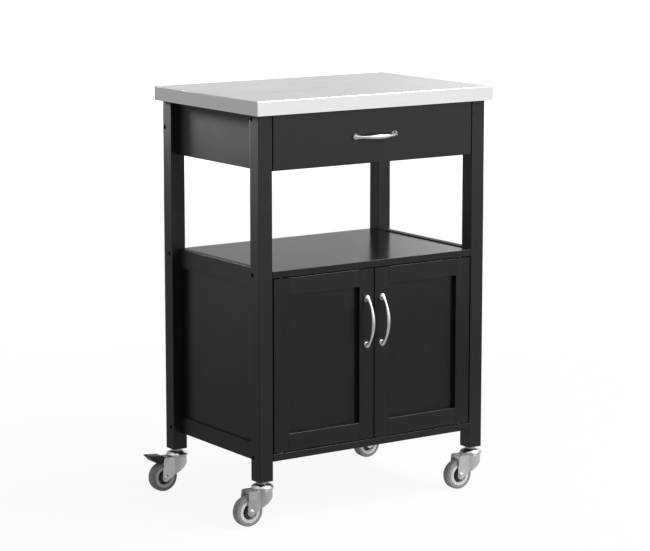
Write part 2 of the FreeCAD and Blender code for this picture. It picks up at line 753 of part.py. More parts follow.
def make_stile(side, name, near, hinge):
    """A full-height stile, grooved for the panel along the edge that faces it."""
    label = f"door_{SIDE_NAMES[side]}_{name}"
    left = near if side == RIGHT else f"(-{near} - Sizes.stile_width)"
    low = (left, f"-{FRAME_END}", DOOR_BASE)
    high = (f"({left} + Sizes.stile_width)", DOOR_BACK, DOOR_TOP)
    body = board(label, low, high)
    round_edges(body, [ALONG_Z], "Sizes.board_round")
    groove_on_left = hinge == (side == RIGHT)
    groove = new_sketch(body, "YZ_Plane", "0" if groove_on_left else "Sizes.stile_width")
    groove_rear = "(Sizes.door_panel_recess + Sizes.door_panel_thickness + Sizes.groove_clearance)"
    overlap = "(Sizes.stile_width - Sizes.door_groove)"
    draw_rectangle(
        groove, "Sizes.door_panel_recess", overlap, groove_rear, f"({DOOR_TOP} - {DOOR_BASE} - {overlap})"
    )
    add_pocket(body, groove, "Sizes.door_groove", reverse=groove_on_left)
    if hinge:
        for face, reverse in (("0", True), (f"({DOOR_TOP} - {DOOR_BASE})", False)):
            socket = new_sketch(body, "XY_Plane", face)
            across = f"({side} * {PIVOT_X} - {left})"
            draw_circle(socket, across, "Sizes.door_thickness / 2", "Sizes.pivot_bush_radius")
            add_pocket(body, socket, "Sizes.pivot_bush_length", reverse=reverse)
    else:
        holes = new_sketch(body, "XZ_Plane")
        for way in (LEFT, RIGHT):
            up = f"({DOOR_HANDLE_HEIGHT} + {way} * Sizes.handle_span / 2 - {DOOR_BASE})"
            radius = "(Sizes.handle_screw_radius + Sizes.handle_screw_clearance)"
            draw_circle(holes, "Sizes.stile_width / 2", up, radius)
        add_pocket(body, holes, "Sizes.door_thickness")
    return keep(body)


def make_door_rail(side, name, base):
    """A rail between the stiles, grooved along its panel edge."""
    near = f"({DOOR_INNER} + Sizes.stile_width)"
    far = f"({DOOR_OUTER} - Sizes.stile_width)"
    left, right = (near, far) if side == RIGHT else (f"-{far}", f"-{near}")
    low = (left, f"-{FRAME_END}", base)
    high = (right, DOOR_BACK, f"({base} + Sizes.stile_width)")
    body = board(f"door_{SIDE_NAMES[side]}_{name}", low, high)
    round_edges(body, [ALONG_X], "Sizes.board_round")
    groove_above = name == "bottom_rail"
    groove = new_sketch(body, "XY_Plane", "Sizes.stile_width" if groove_above else "0")
    groove_rear = "(Sizes.door_panel_recess + Sizes.door_panel_thickness + Sizes.groove_clearance)"
    draw_rectangle(groove, "0", "Sizes.door_panel_recess", f"({right} - {left})", groove_rear)
    add_pocket(body, groove, "Sizes.door_groove", reverse=not groove_above)
    return keep(body)


def make_door_panel(side):
    tongue = "(Sizes.door_groove - Sizes.groove_clearance)"
    near = f"({DOOR_INNER} + Sizes.stile_width - {tongue})"
    far = f"({DOOR_OUTER} - Sizes.stile_width + {tongue})"
    left, right = (near, far) if side == RIGHT else (f"-{far}", f"-{near}")
    front = f"(Sizes.door_panel_recess - {FRAME_END})"
    low = (left, front, f"({DOOR_BASE} + Sizes.stile_width - {tongue})")
    high = (right, f"({front} + Sizes.door_panel_thickness)", f"({DOOR_TOP} - Sizes.stile_width + {tongue})")
    return keep(board(f"door_{SIDE_NAMES[side]}_panel", low, high))


def make_bush(label, side, base, open_low):
    """A plain bush pressed into the end of the hinge stile."""
    outer = cylinder(f"{label}_outer", "Sizes.pivot_bush_radius", "Sizes.pivot_bush_length")
    place(outer, f"{side} * {PIVOT_X}", PIVOT_Y, base)
    bore_depth = "(Sizes.pivot_pin_reach + Sizes.pivot_collar_clearance)"
    bore = cylinder(f"{label}_bore", "(Sizes.pivot_pin_radius + Sizes.pivot_clearance)", bore_depth)
    bore_base = base if open_low else f"({base} + Sizes.pivot_bush_length - {bore_depth})"
    place(bore, f"{side} * {PIVOT_X}", PIVOT_Y, bore_base)
    return cut(label, outer, bore)


def make_door_fittings(side):
    """The two bushes and the steel strike plate of one door."""
    name = SIDE_NAMES[side]
    low_bush = make_bush(f"bush_low_{name}", side, DOOR_BASE, True)
    high_base = f"({DOOR_TOP} - Sizes.pivot_bush_length)"
    high_bush = make_bush(f"bush_high_{name}", side, high_base, False)
    near = f"({DOOR_INNER} + Sizes.strike_inset)"
    far = f"({near} + Sizes.strike_width)"
    left, right = (near, far) if side == RIGHT else (f"-{far}", f"-{near}")
    top = f"({DOOR_TOP} - Sizes.strike_inset)"
    low = (left, DOOR_BACK, f"({top} - Sizes.catch_height)")
    high = (right, f"({DOOR_BACK} + Sizes.strike_thickness)", top)
    strike = board(f"strike_{name}", low, high)
    return group(f"door_{name}_fittings", [low_bush, high_bush, strike])


def make_pivot_pins():
    """Four shouldered pins in the boards; the lower pair carries the doors on its collars."""
    pins = []
    for side in (LEFT, RIGHT):
        name = SIDE_NAMES[side]
        pin_length = "(Sizes.pivot_pin_hold + Sizes.door_bottom_gap + Sizes.pivot_pin_reach)"
        low_pin = cylinder(f"pin_low_{name}", "Sizes.pivot_pin_radius", pin_length)
        place(low_pin, f"{side} * {PIVOT_X}", PIVOT_Y, "(Sizes.bottom_height - Sizes.pivot_pin_hold)")
        collar_height = "(Sizes.door_bottom_gap - Sizes.pivot_collar_clearance)"
        collar = cylinder(f"collar_{name}", "Sizes.pivot_collar_radius", collar_height)
        place(collar, f"{side} * {PIVOT_X}", PIVOT_Y, "Sizes.bottom_height")
        pins.append(fuse(f"shouldered_pin_{name}", [low_pin, collar]))
        high_length = "(Sizes.pivot_pin_hold + Sizes.door_top_gap + Sizes.pivot_pin_reach)"
        high_pin = cylinder(f"pin_high_{name}", "Sizes.pivot_pin_radius", high_length)
        high_base = f"({DOOR_TOP} - Sizes.pivot_pin_reach)"
        place(high_pin, f"{side} * {PIVOT_X}", PIVOT_Y, high_base)
        pins.append(high_pin)
    return group("door_pivot_pins", pins)


def make_door_catch():
    """One block under the shelf with a magnet face for each door."""
    half_width = "Sizes.catch_width / 2"
    front = f"({DOOR_BACK} + Sizes.strike_thickness + Sizes.catch_gap)"
    low = (f"-{half_width}", front, f"({SHELF_UNDER} - Sizes.catch_height - Sizes.strike_inset)")
    high = (half_width, f"({front} + Sizes.catch_depth)", SHELF_UNDER)
    return keep(board("door_catch", low, high))


def make_door(side):
    hinge_near = f"({DOOR_OUTER} - Sizes.stile_width)"
    make_stile(side, "hinge_stile", hinge_near, True)
    make_stile(side, "handle_stile", DOOR_INNER, False)
    make_door_rail(side, "bottom_rail", DOOR_BASE)
    make_door_rail(side, "top_rail", f"({DOOR_TOP} - Sizes.stile_width)")
    make_door_panel(side)
    make_door_fittings(side)


# Handles

def bow_shape():
    """The flattened bow between the two feet, along X and standing out towards -Y."""
    half_span = size("Sizes.handle_span") / 2
    reach = size("Sizes.handle_projection") - size("Sizes.handle_thickness") / 2
    half_width = size("Sizes.handle_width") / 2
    half_thickness = size("Sizes.handle_thickness") / 2
    points = []
    for along, out in zip(BOW_ALONG_SHARES, BOW_OUT_SHARES):
        points.append(FreeCAD.Vector(along * half_span, -out * reach, 0))
    line = Part.BSplineCurve()
    line.interpolate(points)
    sections = []
    for point, width_share in zip(points, BOW_WIDTH_SHARES):
        forward = FreeCAD.Vector(*line.tangent(line.parameter(point))[0])
        outward = forward.cross(ALONG_Z)
        wide = width_share * half_width
        thick = min(half_thickness, wide)
        ellipse = Part.Ellipse(point + ALONG_Z * wide, point + outward * thick, point)
        sections.append(Part.Wire([ellipse.toShape()]))
    return Part.makeLoft(sections, True, False)


def foot_shape(across, screw_length):
    """A round foot with a waisted neck, drilled from behind for its screw."""
    foot_radius = size("Sizes.handle_foot_radius")
    foot_height = size("Sizes.handle_foot_height")
    neck_radius = size("Sizes.handle_neck_radius")
    neck_height = size("Sizes.handle_neck_height")
    centre = FreeCAD.Vector(across, 0, 0)
    outward = FreeCAD.Vector(0, -1, 0)
    disc = Part.makeCylinder(foot_radius, foot_height, centre, outward)
    rim = [edge for edge in disc.Edges if abs(edge.CenterOfMass.y + foot_height) < foot_height / 2]
    disc = disc.makeFillet(foot_height / 2, rim)
    neck_base = centre + outward * foot_height / 2
    neck = Part.makeCone(foot_radius * NECK_BASE_SHARE, neck_radius, neck_height, neck_base, outward)
    bore = Part.makeCylinder(size("Sizes.handle_screw_radius"), screw_length, centre, outward)
    return disc.fuse(neck), bore


def handle_solids(through):
    """The pull and its two screws, the pull's mounting face at y = 0."""
    half_span = size("Sizes.handle_span") / 2
    bite = size("Sizes.handle_screw_bite")
    head_radius = size("Sizes.handle_screw_head_radius")
    head_height = size("Sizes.handle_screw_head_height")
    pull = bow_shape()
    bores = []
    screws = []
    outward = FreeCAD.Vector(0, -1, 0)
    for across in (-half_span, half_span):
        foot, bore = foot_shape(across, bite)
        pull = pull.fuse(foot)
        bores.append(bore)
        rear = FreeCAD.Vector(across, through, 0)
        shank = Part.makeCylinder(size("Sizes.handle_screw_radius"), through + bite, rear, outward)
        head = Part.makeCylinder(head_radius, head_height, rear + ALONG_Y * head_height, outward)
        screws.append(shank.fuse(head).removeSplitter())
    pull = pull.cut(bores).removeSplitter()
    return Part.makeCompound([pull.Solids[0]] + screws)


def make_handle(label, through, x, z, upright):
    """A bow handle on the front face, along X on the drawer or upright on a door."""
    item = document.addObject("Part::Feature", label)
    item.Label = label
    item.Shape = handle_solids(size(through))
    turn = FreeCAD.Rotation(ALONG_Y, QUARTER_TURN if upright else 0)
    foot = FreeCAD.Vector(size(x), -size(FRAME_END), size(z))
    item.Placement = FreeCAD.Placement(foot, turn)
    return keep(item)


# Casters

def make_stem():
    """Threaded stem with its nut, the domed raceway and the kingpin that holds the fork."""
    body = new_body("stem")
    nut_base = "(Sizes.leg_base - Sizes.stem_nut_height)"
    race_base = "(Sizes.fork_crown_height + Sizes.raceway_gap)"
    crown_under = "(Sizes.fork_crown_height - Sizes.fork_metal_thickness)"
    head_top = f"({crown_under} - Sizes.raceway_gap)"
    sketch = new_sketch(body, "XZ_Plane")
    draw_polygon(
        sketch,
        [
            ("0", f"({head_top} - Sizes.kingpin_head_height)"),
            ("Sizes.kingpin_head_radius", f"({head_top} - Sizes.kingpin_head_height)"),
            ("Sizes.kingpin_head_radius", head_top),
            ("Sizes.kingpin_radius", head_top),
            ("Sizes.kingpin_radius", race_base),
            ("Sizes.raceway_radius", race_base),
            ("Sizes.raceway_radius", f"({race_base} + Sizes.raceway_rim)"),
            ("Sizes.raceway_top_radius", nut_base),
            ("Sizes.stem_nut_radius", nut_base),
            ("Sizes.stem_nut_radius", "Sizes.leg_base"),
            ("Sizes.stem_radius", "Sizes.leg_base"),
            ("Sizes.stem_radius", "(Sizes.leg_base + Sizes.stem_reach)"),
            ("0", "(Sizes.leg_base + Sizes.stem_reach)"),
        ],
    )
    add_revolution(body, sketch)
    return body


def make_caster_stems():
    stems = []
    for end, side in CORNERS:
        stem = make_stem()
        stem.Label = f"stem_{END_NAMES[end]}_{SIDE_NAMES[side]}"
        place(stem, f"{side} * {LEG_CENTRE_X}", f"{end} * {LEG_CENTRE_Y}", "0")
        stems.append(stem)
    return group("caster_stems", stems)


def fork_side_outline():
    """The fork seen from the side: crown, leading skirt, slanting edge, boss, trailing edge."""
    boss = "Sizes.fork_boss_radius"
    across_share, down_share = BOSS_TOUCH_SHARES
    return [
        ("Sizes.fork_crown_radius", "Sizes.fork_crown_height"),
        ("Sizes.fork_crown_radius", "(Sizes.fork_crown_height - Sizes.fork_skirt)"),
        (f"({boss} * {across_share} - Sizes.caster_trail)", f"(Sizes.wheel_radius - {boss} * {down_share})"),
        (f"(-Sizes.caster_trail - {boss})", "Sizes.wheel_radius"),
        ("-Sizes.fork_ear_rear", "(Sizes.fork_crown_height - Sizes.fork_metal_thickness)"),
        ("(Sizes.fork_metal_thickness - Sizes.fork_ear_rear)", "Sizes.fork_crown_height"),
    ]


def make_fork_shell(label, braked):
    """The stamped fork, with its stem axis on the body's Z axis and the floor at z = 0."""
    body = new_body(label)
    boss_low = "(Sizes.wheel_radius - Sizes.fork_boss_radius)"
    rear = "(-Sizes.caster_trail - Sizes.fork_boss_radius)"
    plan = new_sketch(body, "XY_Plane", boss_low)
    draw_keyhole(plan, "Sizes.fork_crown_radius", "Sizes.fork_half_width", rear)
    add_pad(body, plan, f"(Sizes.fork_crown_height - {boss_low})")
    trim = new_sketch(body, "XZ_Plane")
    margin = "Sizes.fork_crown_radius"
    draw_polygon(trim, fork_side_outline())
    front = f"({margin} + {margin})"
    draw_rectangle(trim, f"({rear} - {margin})", "0", front, f"(Sizes.fork_crown_height + {margin})")
    width = "(2 * Sizes.fork_crown_radius + Sizes.fork_metal_thickness)"
    add_pocket(body, trim, width, middle=True)
    boss = new_sketch(body, "XZ_Plane")
    draw_circle(boss, "-Sizes.caster_trail", "Sizes.wheel_radius", "Sizes.fork_boss_radius")
    add_pad(body, boss, "(2 * Sizes.fork_half_width)", middle=True)
    cavity = new_sketch(body, "XY_Plane")
    inner_radius = "(Sizes.fork_crown_radius - Sizes.fork_metal_thickness)"
    draw_keyhole(cavity, inner_radius, EAR_INNER, f"({rear} - {margin})")
    add_pocket(body, cavity, "(Sizes.fork_crown_height - Sizes.fork_metal_thickness)", reverse=True)
    opening = new_sketch(body, "XY_Plane", "Sizes.fork_crown_height")
    draw_rectangle(opening, f"({rear} - {margin})", f"-{EAR_INNER}", "-Sizes.fork_crown_rear", EAR_INNER)
    add_pocket(body, opening, "(2 * Sizes.fork_metal_thickness)")
    kingpin = new_sketch(body, "XY_Plane", "Sizes.fork_crown_height")
    draw_circle(kingpin, "0", "0", "(Sizes.kingpin_radius + Sizes.kingpin_clearance)")
    add_pocket(body, kingpin, "(2 * Sizes.fork_metal_thickness)")
    pins = new_sketch(body, "XZ_Plane")
    axle_hole = "(Sizes.axle_radius + Sizes.axle_clearance)"
    draw_circle(pins, "-Sizes.caster_trail", "Sizes.wheel_radius", axle_hole)
    if braked:
        pin_hole = "(Sizes.pedal_pin_radius + Sizes.pedal_pin_clearance)"
        draw_circle(pins, "-Sizes.pedal_pin_back", "Sizes.pedal_pin_height", pin_hole)
    add_pocket(body, pins, "(2 * Sizes.fork_half_width + Sizes.fork_metal_thickness)", middle=True)
    return body


def make_cross_pin(label, back, height, radius, head_radius, head_height):
    """A pin through both ears of the fork with a round head on each outer face."""
    body = new_body(label)
    sketch = new_sketch(body, "XY_Plane")
    face = "Sizes.fork_half_width"
    crown = f"({head_radius} / 2)"
    draw_polygon(
        sketch,
        [
            ("0", f"(-{face} - {head_height})"),
            (crown, f"(-{face} - {head_height})"),
            (head_radius, f"(-{face} - {head_height} / 2)"),
            (head_radius, f"-{face}"),
            (radius, f"-{face}"),
            (radius, face),
            (head_radius, face),
            (head_radius, f"({face} + {head_height} / 2)"),
            (crown, f"({face} + {head_height})"),
            ("0", f"({face} + {head_height})"),
        ],
    )
    add_revolution(body, sketch)
    return place(body, f"-{back}", "0", height)


def set_at_corner(item, end, side, back="0", height="0"):
    """Moves a caster piece from the stem axis at the origin to its leg."""
    x = f"({side} * {LEG_CENTRE_X} - {back})"
    return place(item, x, f"{end} * {LEG_CENTRE_Y}", height)


def make_fork(end, side):
    name = f"{END_NAMES[end]}_{SIDE_NAMES[side]}"
    braked = end == REAR
    shell = set_at_corner(make_fork_shell(f"fork_shell_{name}", braked), end, side)
    axle = make_cross_pin(
        f"axle_{name}",
        "Sizes.caster_trail",
        "Sizes.wheel_radius",
        "Sizes.axle_radius",
        "Sizes.axle_nut_radius",
        "Sizes.axle_nut_height",
    )
    solids = [shell, set_at_corner(axle, end, side, "Sizes.caster_trail", "Sizes.wheel_radius")]
    if braked:
        pin = make_cross_pin(
            f"pedal_pin_{name}",
            "Sizes.pedal_pin_back",
            "Sizes.pedal_pin_height",
            "Sizes.pedal_pin_radius",
            "Sizes.pedal_pin_head_radius",
            "Sizes.pedal_pin_head_height",
        )
        solids.append(set_at_corner(pin, end, side, "Sizes.pedal_pin_back", "Sizes.pedal_pin_height"))
    return group(f"fork_{name}", solids)


def make_hub(end, side):
    """The wheel's hub: a bored boss, a thin web and the rim that carries the tyre."""
    body = new_body(f"hub_{END_NAMES[end]}_{SIDE_NAMES[side]}")
    boss = f"({EAR_INNER} - Sizes.hub_boss_gap)"
    web = "(Sizes.hub_web_thickness / 2)"
    rim = "(Sizes.wheel_width / 2)"
    bore = "(Sizes.axle_radius + Sizes.axle_clearance)"
    sketch = new_sketch(body, "XY_Plane")
    right_side = [
        (bore, boss),
        ("Sizes.hub_boss_radius", boss),
        ("Sizes.hub_boss_radius", web),
        ("Sizes.hub_rim_inner", web),
        ("Sizes.hub_rim_inner", rim),
        ("Sizes.hub_rim_outer", rim),
    ]
    mirrored = [(across, f"-{along}") for across, along in reversed(right_side)]
    draw_polygon(sketch, right_side + mirrored)
    add_revolution(body, sketch)
    return keep(set_at_corner(body, end, side, "Sizes.caster_trail", "Sizes.wheel_radius"))


def make_tyre(end, side):
    body = new_body(f"tyre_{END_NAMES[end]}_{SIDE_NAMES[side]}")
    half = "(Sizes.wheel_width / 2)"
    sketch = new_sketch(body, "XY_Plane")
    draw_rectangle(sketch, "Sizes.hub_rim_outer", f"-{half}", "Sizes.wheel_radius", half)
    add_revolution(body, sketch)
    outer_edges = []
    tread_middle = (size("Sizes.wheel_radius") + size("Sizes.hub_rim_outer")) / 2
    for number, edge in enumerate(body.Shape.Edges, start=1):
        curve = edge.Curve
        if isinstance(curve, Part.Circle) and curve.Radius > tread_middle:
            outer_edges.append(f"Edge{number}")
    add_fillet(body, outer_edges, "Sizes.tyre_round")
    return keep(set_at_corner(body, end, side, "Sizes.caster_trail", "Sizes.wheel_radius"))


def make_pedal(side):
    """The brake lever: a barrel on its pin between the ears, a shoe and a tread to step on."""
    body = new_body(f"brake_pedal_{SIDE_NAMES[side]}")
    barrel = "Sizes.pedal_barrel_radius"
    pin_back = "Sizes.pedal_pin_back"
    pin_height = "Sizes.pedal_pin_height"
    sketch = new_sketch(body, "XZ_Plane")
    draw_polygon(
        sketch,
        [
            (f"-{pin_back}", f"({pin_height} + {barrel})"),
            ("-Sizes.pedal_knee_back", "Sizes.pedal_knee_height"),
            ("-Sizes.pedal_reach", "Sizes.pedal_tip_height"),
            ("-Sizes.pedal_reach", "(Sizes.pedal_tip_height - Sizes.pedal_tip_thickness)"),
            ("-Sizes.pedal_heel_back", "Sizes.pedal_heel_height"),
            ("-Sizes.pedal_step_back", "Sizes.pedal_step_height"),
            ("-Sizes.pedal_shoe_back", "Sizes.pedal_shoe_height"),
            ("-Sizes.pedal_shoe_front", "Sizes.pedal_shoe_height"),
            (f"-{pin_back}", f"({pin_height} - {barrel})"),
        ],
    )
    add_pad(body, sketch, "(2 * Sizes.pedal_half_width)", middle=True)
    drum = new_sketch(body, "XZ_Plane")
    draw_circle(drum, f"-{pin_back}", pin_height, barrel)
    add_pad(body, drum, "(2 * Sizes.pedal_half_width)", middle=True)
    bore = new_sketch(body, "XZ_Plane")
    draw_circle(bore, f"-{pin_back}", pin_height, "(Sizes.pedal_pin_radius + Sizes.pedal_pin_clearance)")
    add_pocket(body, bore, "(2 * Sizes.pedal_half_width + Sizes.fork_metal_thickness)", middle=True)
    return keep(set_at_corner(body, REAR, side))


# The whole cart

def build():
    for end, side in CORNERS:
        make_leg(end, side)
    for side in (LEFT, RIGHT):
        make_side_frame(side)
    make_rear_apron()
    make_front_strip()
    make_cabinet_board("shelf", SHELF_UNDER, "Sizes.shelf_height", 1, False)
    make_cabinet_board("bottom_board", BOTTOM_UNDER, "Sizes.bottom_height", 2, True)
    make_back_panel()
    make_frame_bolts()
    make_worktop()
    make_drawer_front()
    for side in (LEFT, RIGHT):
        make_drawer_side(side)
    make_drawer_back()
    make_drawer_bottom()
    make_slides()
    make_handle("drawer_handle", "Sizes.drawer_front_thickness", "0", DRAWER_HANDLE_HEIGHT, False)
    for side in (LEFT, RIGHT):
        make_door(side)
        label = f"door_{SIDE_NAMES[side]}_handle"
        x = f"{side} * {HANDLE_STILE_X}"
        make_handle(label, "Sizes.door_thickness", x, DOOR_HANDLE_HEIGHT, True)
    make_pivot_pins()
    make_door_catch()
    make_caster_stems()
    for end, side in CORNERS:
        make_fork(end, side)
        make_hub(end, side)
        make_tyre(end, side)
    for side in (LEFT, RIGHT):
        make_pedal(side)
    document.recompute()


def check_document():
    """Stops if any object failed, or a sub-part has no valid solid."""
    for item in document.Objects:
        if "Invalid" in item.State or "Error" in item.State:
            owners = ", ".join(owner.Label for owner in item.InList)
            raise RuntimeError(f"{item.Label} of {owners} failed to recompute")
    for item in nodes:
        if item.Shape.isNull() or not item.Shape.isValid() or not item.Shape.Solids:
            raise RuntimeError(f"{item.Label} has no valid solid")


def export_nodes():
    os.makedirs("parts", exist_ok=True)
    for item in nodes:
        item.Shape.exportStep(f"parts/{item.Label}.step")
    print(f"{len(nodes)} sub-parts written")


sheet = make_sheet()
build()
check_document()
export_nodes()
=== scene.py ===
import logging
import math
from dataclasses import dataclass
from enum import Enum
from typing import Iterable, Sequence

import bmesh
import bpy
from mathutils import Matrix, Vector


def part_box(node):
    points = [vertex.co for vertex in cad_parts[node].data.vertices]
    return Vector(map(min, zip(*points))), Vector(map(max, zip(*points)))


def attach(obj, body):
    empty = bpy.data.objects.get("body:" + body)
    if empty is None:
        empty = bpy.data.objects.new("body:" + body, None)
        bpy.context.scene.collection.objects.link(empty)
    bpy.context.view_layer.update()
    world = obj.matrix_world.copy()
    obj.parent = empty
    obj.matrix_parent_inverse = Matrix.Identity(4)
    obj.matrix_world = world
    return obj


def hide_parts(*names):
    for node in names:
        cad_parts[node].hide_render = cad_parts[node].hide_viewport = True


# Looks of the kitchen cart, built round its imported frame.
# Metres, +X to the right, +Y to the rear, +Z up, the floor at Z = 0.

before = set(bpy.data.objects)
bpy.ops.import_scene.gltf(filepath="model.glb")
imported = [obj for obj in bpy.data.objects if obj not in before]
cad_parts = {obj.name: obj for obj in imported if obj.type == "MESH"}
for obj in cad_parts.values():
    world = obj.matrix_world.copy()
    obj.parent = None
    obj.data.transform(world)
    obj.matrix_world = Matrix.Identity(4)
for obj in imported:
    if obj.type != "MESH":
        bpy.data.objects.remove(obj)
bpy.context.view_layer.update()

LOG = logging.getLogger("kitchen_cart")
MM = 0.001
FULL_TURN = 2 * math.pi
WHITE = (1.0, 1.0, 1.0, 1.0)

# Places less than TINY apart count as one, and the mesh operators join vertices within WELD.
TINY = 1e-5
WELD = 1e-6

Colour = tuple[float, float, float]
Point = tuple[float, float, float]
Span = tuple[float, float]
Profile = Sequence[Span]
Node = bpy.types.Node
Socket = bpy.types.NodeSocket
Piece = bpy.types.Object
Value = Socket | float
Vert = bmesh.types.BMVert
Edge = bmesh.types.BMEdge


class Side(Enum):
    """The two sides of the cart, with the sign of X."""

    LEFT = -1
    RIGHT = 1


class End(Enum):
    """The front and the rear of the cart, with the sign of Y."""

    FRONT = -1
    REAR = 1


class Grain(Enum):
    """The direction that wood fibres or brushed hairlines run in."""

    ALONG_X = "x"
    ALONG_Y = "y"
    ALONG_Z = "z"


def stretch_for(grain: Grain, along: float, across: float) -> Point:
    """Features per metre on each axis, for noise that is drawn out along the grain."""
    return tuple(along if axis is grain else across for axis in Grain)


# Nodes


class NodeDesk:
    """Places nodes in one node tree and wires them."""

    row_length: int = 8
    row_step: Span = (180.0, -220.0)

    def __init__(self, tree: bpy.types.NodeTree) -> None:
        """Clears the tree and keeps it."""
        self.tree = tree
        self.tree.nodes.clear()

    def place(self, kind: str, inputs: dict[str | int, object], **settings: object) -> Node:
        """Adds a node, sets its options and fills its inputs.

        Args:
            kind: the node's type name.
            inputs: a value or an output socket for each named input.
            settings: the node's own options.

        Returns:
            The new node.
        """
        row, column = divmod(len(self.tree.nodes), self.row_length)
        node = self.tree.nodes.new(kind)
        node.location = (column * self.row_step[0], row * self.row_step[1])
        for name, value in settings.items():
            setattr(node, name, value)
        for name, value in inputs.items():
            if isinstance(value, Socket):
                self.tree.links.new(value, node.inputs[name])
            else:
                node.inputs[name].default_value = value
        return node

    def maths(self, operation: str, first: Value, second: Value, clamp: bool = False) -> Socket:
        """The result of a Math node, clipped to 0..1 if it is clamped."""
        settings = {"operation": operation, "use_clamp": clamp}
        return self.place("ShaderNodeMath", {0: first, 1: second}, **settings).outputs[0]

    def slope(self, value: Socket, results: tuple[Value, Value], ends: Span = (0.0, 1.0)) -> Socket:
        """Goes from one result to the other while the value goes from end to end, and stays there."""
        limits = {"From Min": ends[0], "From Max": ends[1], "To Min": results[0], "To Max": results[1]}
        return self.place("ShaderNodeMapRange", {"Value": value, **limits}).outputs[0]

    def between(self, mask: Socket, first: Colour, second: Colour) -> Socket:
        """A colour that goes from the first to the second as the mask goes from 0 to 1."""
        colours = {6: (*first, 1.0), 7: (*second, 1.0)}
        return self.place("ShaderNodeMix", {0: mask, **colours}, data_type="RGBA").outputs[2]

    def noise(self, vector: Socket, scale: Value, detail: float) -> Socket:
        """Soft noise about 0.5, with so many features per metre and layers of finer noise in it."""
        inputs = {"Vector": vector, "Scale": scale, "Detail": detail}
        return self.place("ShaderNodeTexNoise", inputs).outputs[0]

    def sharpen(self, mask: Socket, contrast: Socket) -> Socket:
        """Spreads a mask about its middle and clips it to 0..1."""
        spread = self.maths("MULTIPLY", self.maths("SUBTRACT", mask, 0.5), contrast)
        return self.maths("ADD", spread, 0.5, clamp=True)


VECTOR = "NodeSocketVector"
NUMBER = "NodeSocketFloat"


class EffectGroup:
    """A shader node group with named inputs and outputs, built once and used by many finishes."""

    name: str = ""
    inputs: tuple[tuple[str, str], ...] = ()
    outputs: tuple[str, ...] = ()

    def tree(self) -> bpy.types.NodeTree:
        """The group's node tree, made at its first use.

        Returns:
            The shared node tree.
        """
        if self.name in bpy.data.node_groups:
            return bpy.data.node_groups[self.name]
        tree = bpy.data.node_groups.new(self.name, "ShaderNodeTree")
        for name, kind in self.inputs:
            tree.interface.new_socket(name, in_out="INPUT", socket_type=kind)
        for name in self.outputs:
            tree.interface.new_socket(name, in_out="OUTPUT", socket_type=NUMBER)
        desk = NodeDesk(tree)
        self.lay_out(desk, desk.place("NodeGroupInput", {}).outputs)
        return tree

    def lay_out(self, desk: NodeDesk, given: bpy.types.NodeOutputs) -> None:
        """Fills the group; each kind of effect has its own layout."""
        raise NotImplementedError

    def use(self, desk: NodeDesk, **inputs: object) -> Node:
        """Places the group in a material, with a value or a socket for each of its inputs."""
        return desk.place("ShaderNodeGroup", inputs, node_tree=self.tree())


class Streaks(EffectGroup):
    """Long fine streaks: wood fibres under lacquer, or the hairlines of brushed metal."""

    name = "streaks"
    inputs = (("Vector", VECTOR), ("Stretch", VECTOR), ("Contrast", NUMBER))
    outputs = ("Height", "Tone")

    def lay_out(self, desk: NodeDesk, given: bpy.types.NodeOutputs) -> None:
        """Two layers of stretched noise, the second three times as fine.

        Args:
            desk: the group's node desk.
            given: the group's inputs.
        """
        both = {0: given["Vector"], 1: given["Stretch"]}
        stretched = desk.place("ShaderNodeVectorMath", both, operation="MULTIPLY").outputs[0]
        broad = desk.noise(stretched, scale=1.0, detail=3.0)
        fine = desk.noise(stretched, scale=3.1, detail=2.0)
        height = desk.maths("MULTIPLY", desk.maths("ADD", broad, fine), 0.5)
        tone = desk.sharpen(height, given["Contrast"])
        desk.place("NodeGroupOutput", {"Height": height, "Tone": tone})


class Mottle(EffectGroup):
    """Soft round patches: smudges, uneven plating or dust, with a fine grain in them."""

    name = "mottle"
    inputs = (("Vector", VECTOR), ("Scale", NUMBER), ("Contrast", NUMBER))
    outputs = ("Patch", "Grain")

    def lay_out(self, desk: NodeDesk, given: bpy.types.NodeOutputs) -> None:
        """Broad patches, and a grain twenty times as fine.

        Args:
            desk: the group's node desk.
            given: the group's inputs.
        """
        broad = desk.noise(given["Vector"], given["Scale"], detail=4.0)
        patch = desk.sharpen(broad, given["Contrast"])
        grain = desk.noise(given["Vector"], desk.maths("MULTIPLY", given["Scale"], 20.0), detail=2.0)
        desk.place("NodeGroupOutput", {"Patch": patch, "Grain": grain})


# Finishes

# Masks from dark to light and from the lowest to the highest roughness, and the relief's height.
Masks = tuple[Socket, Socket, Socket]


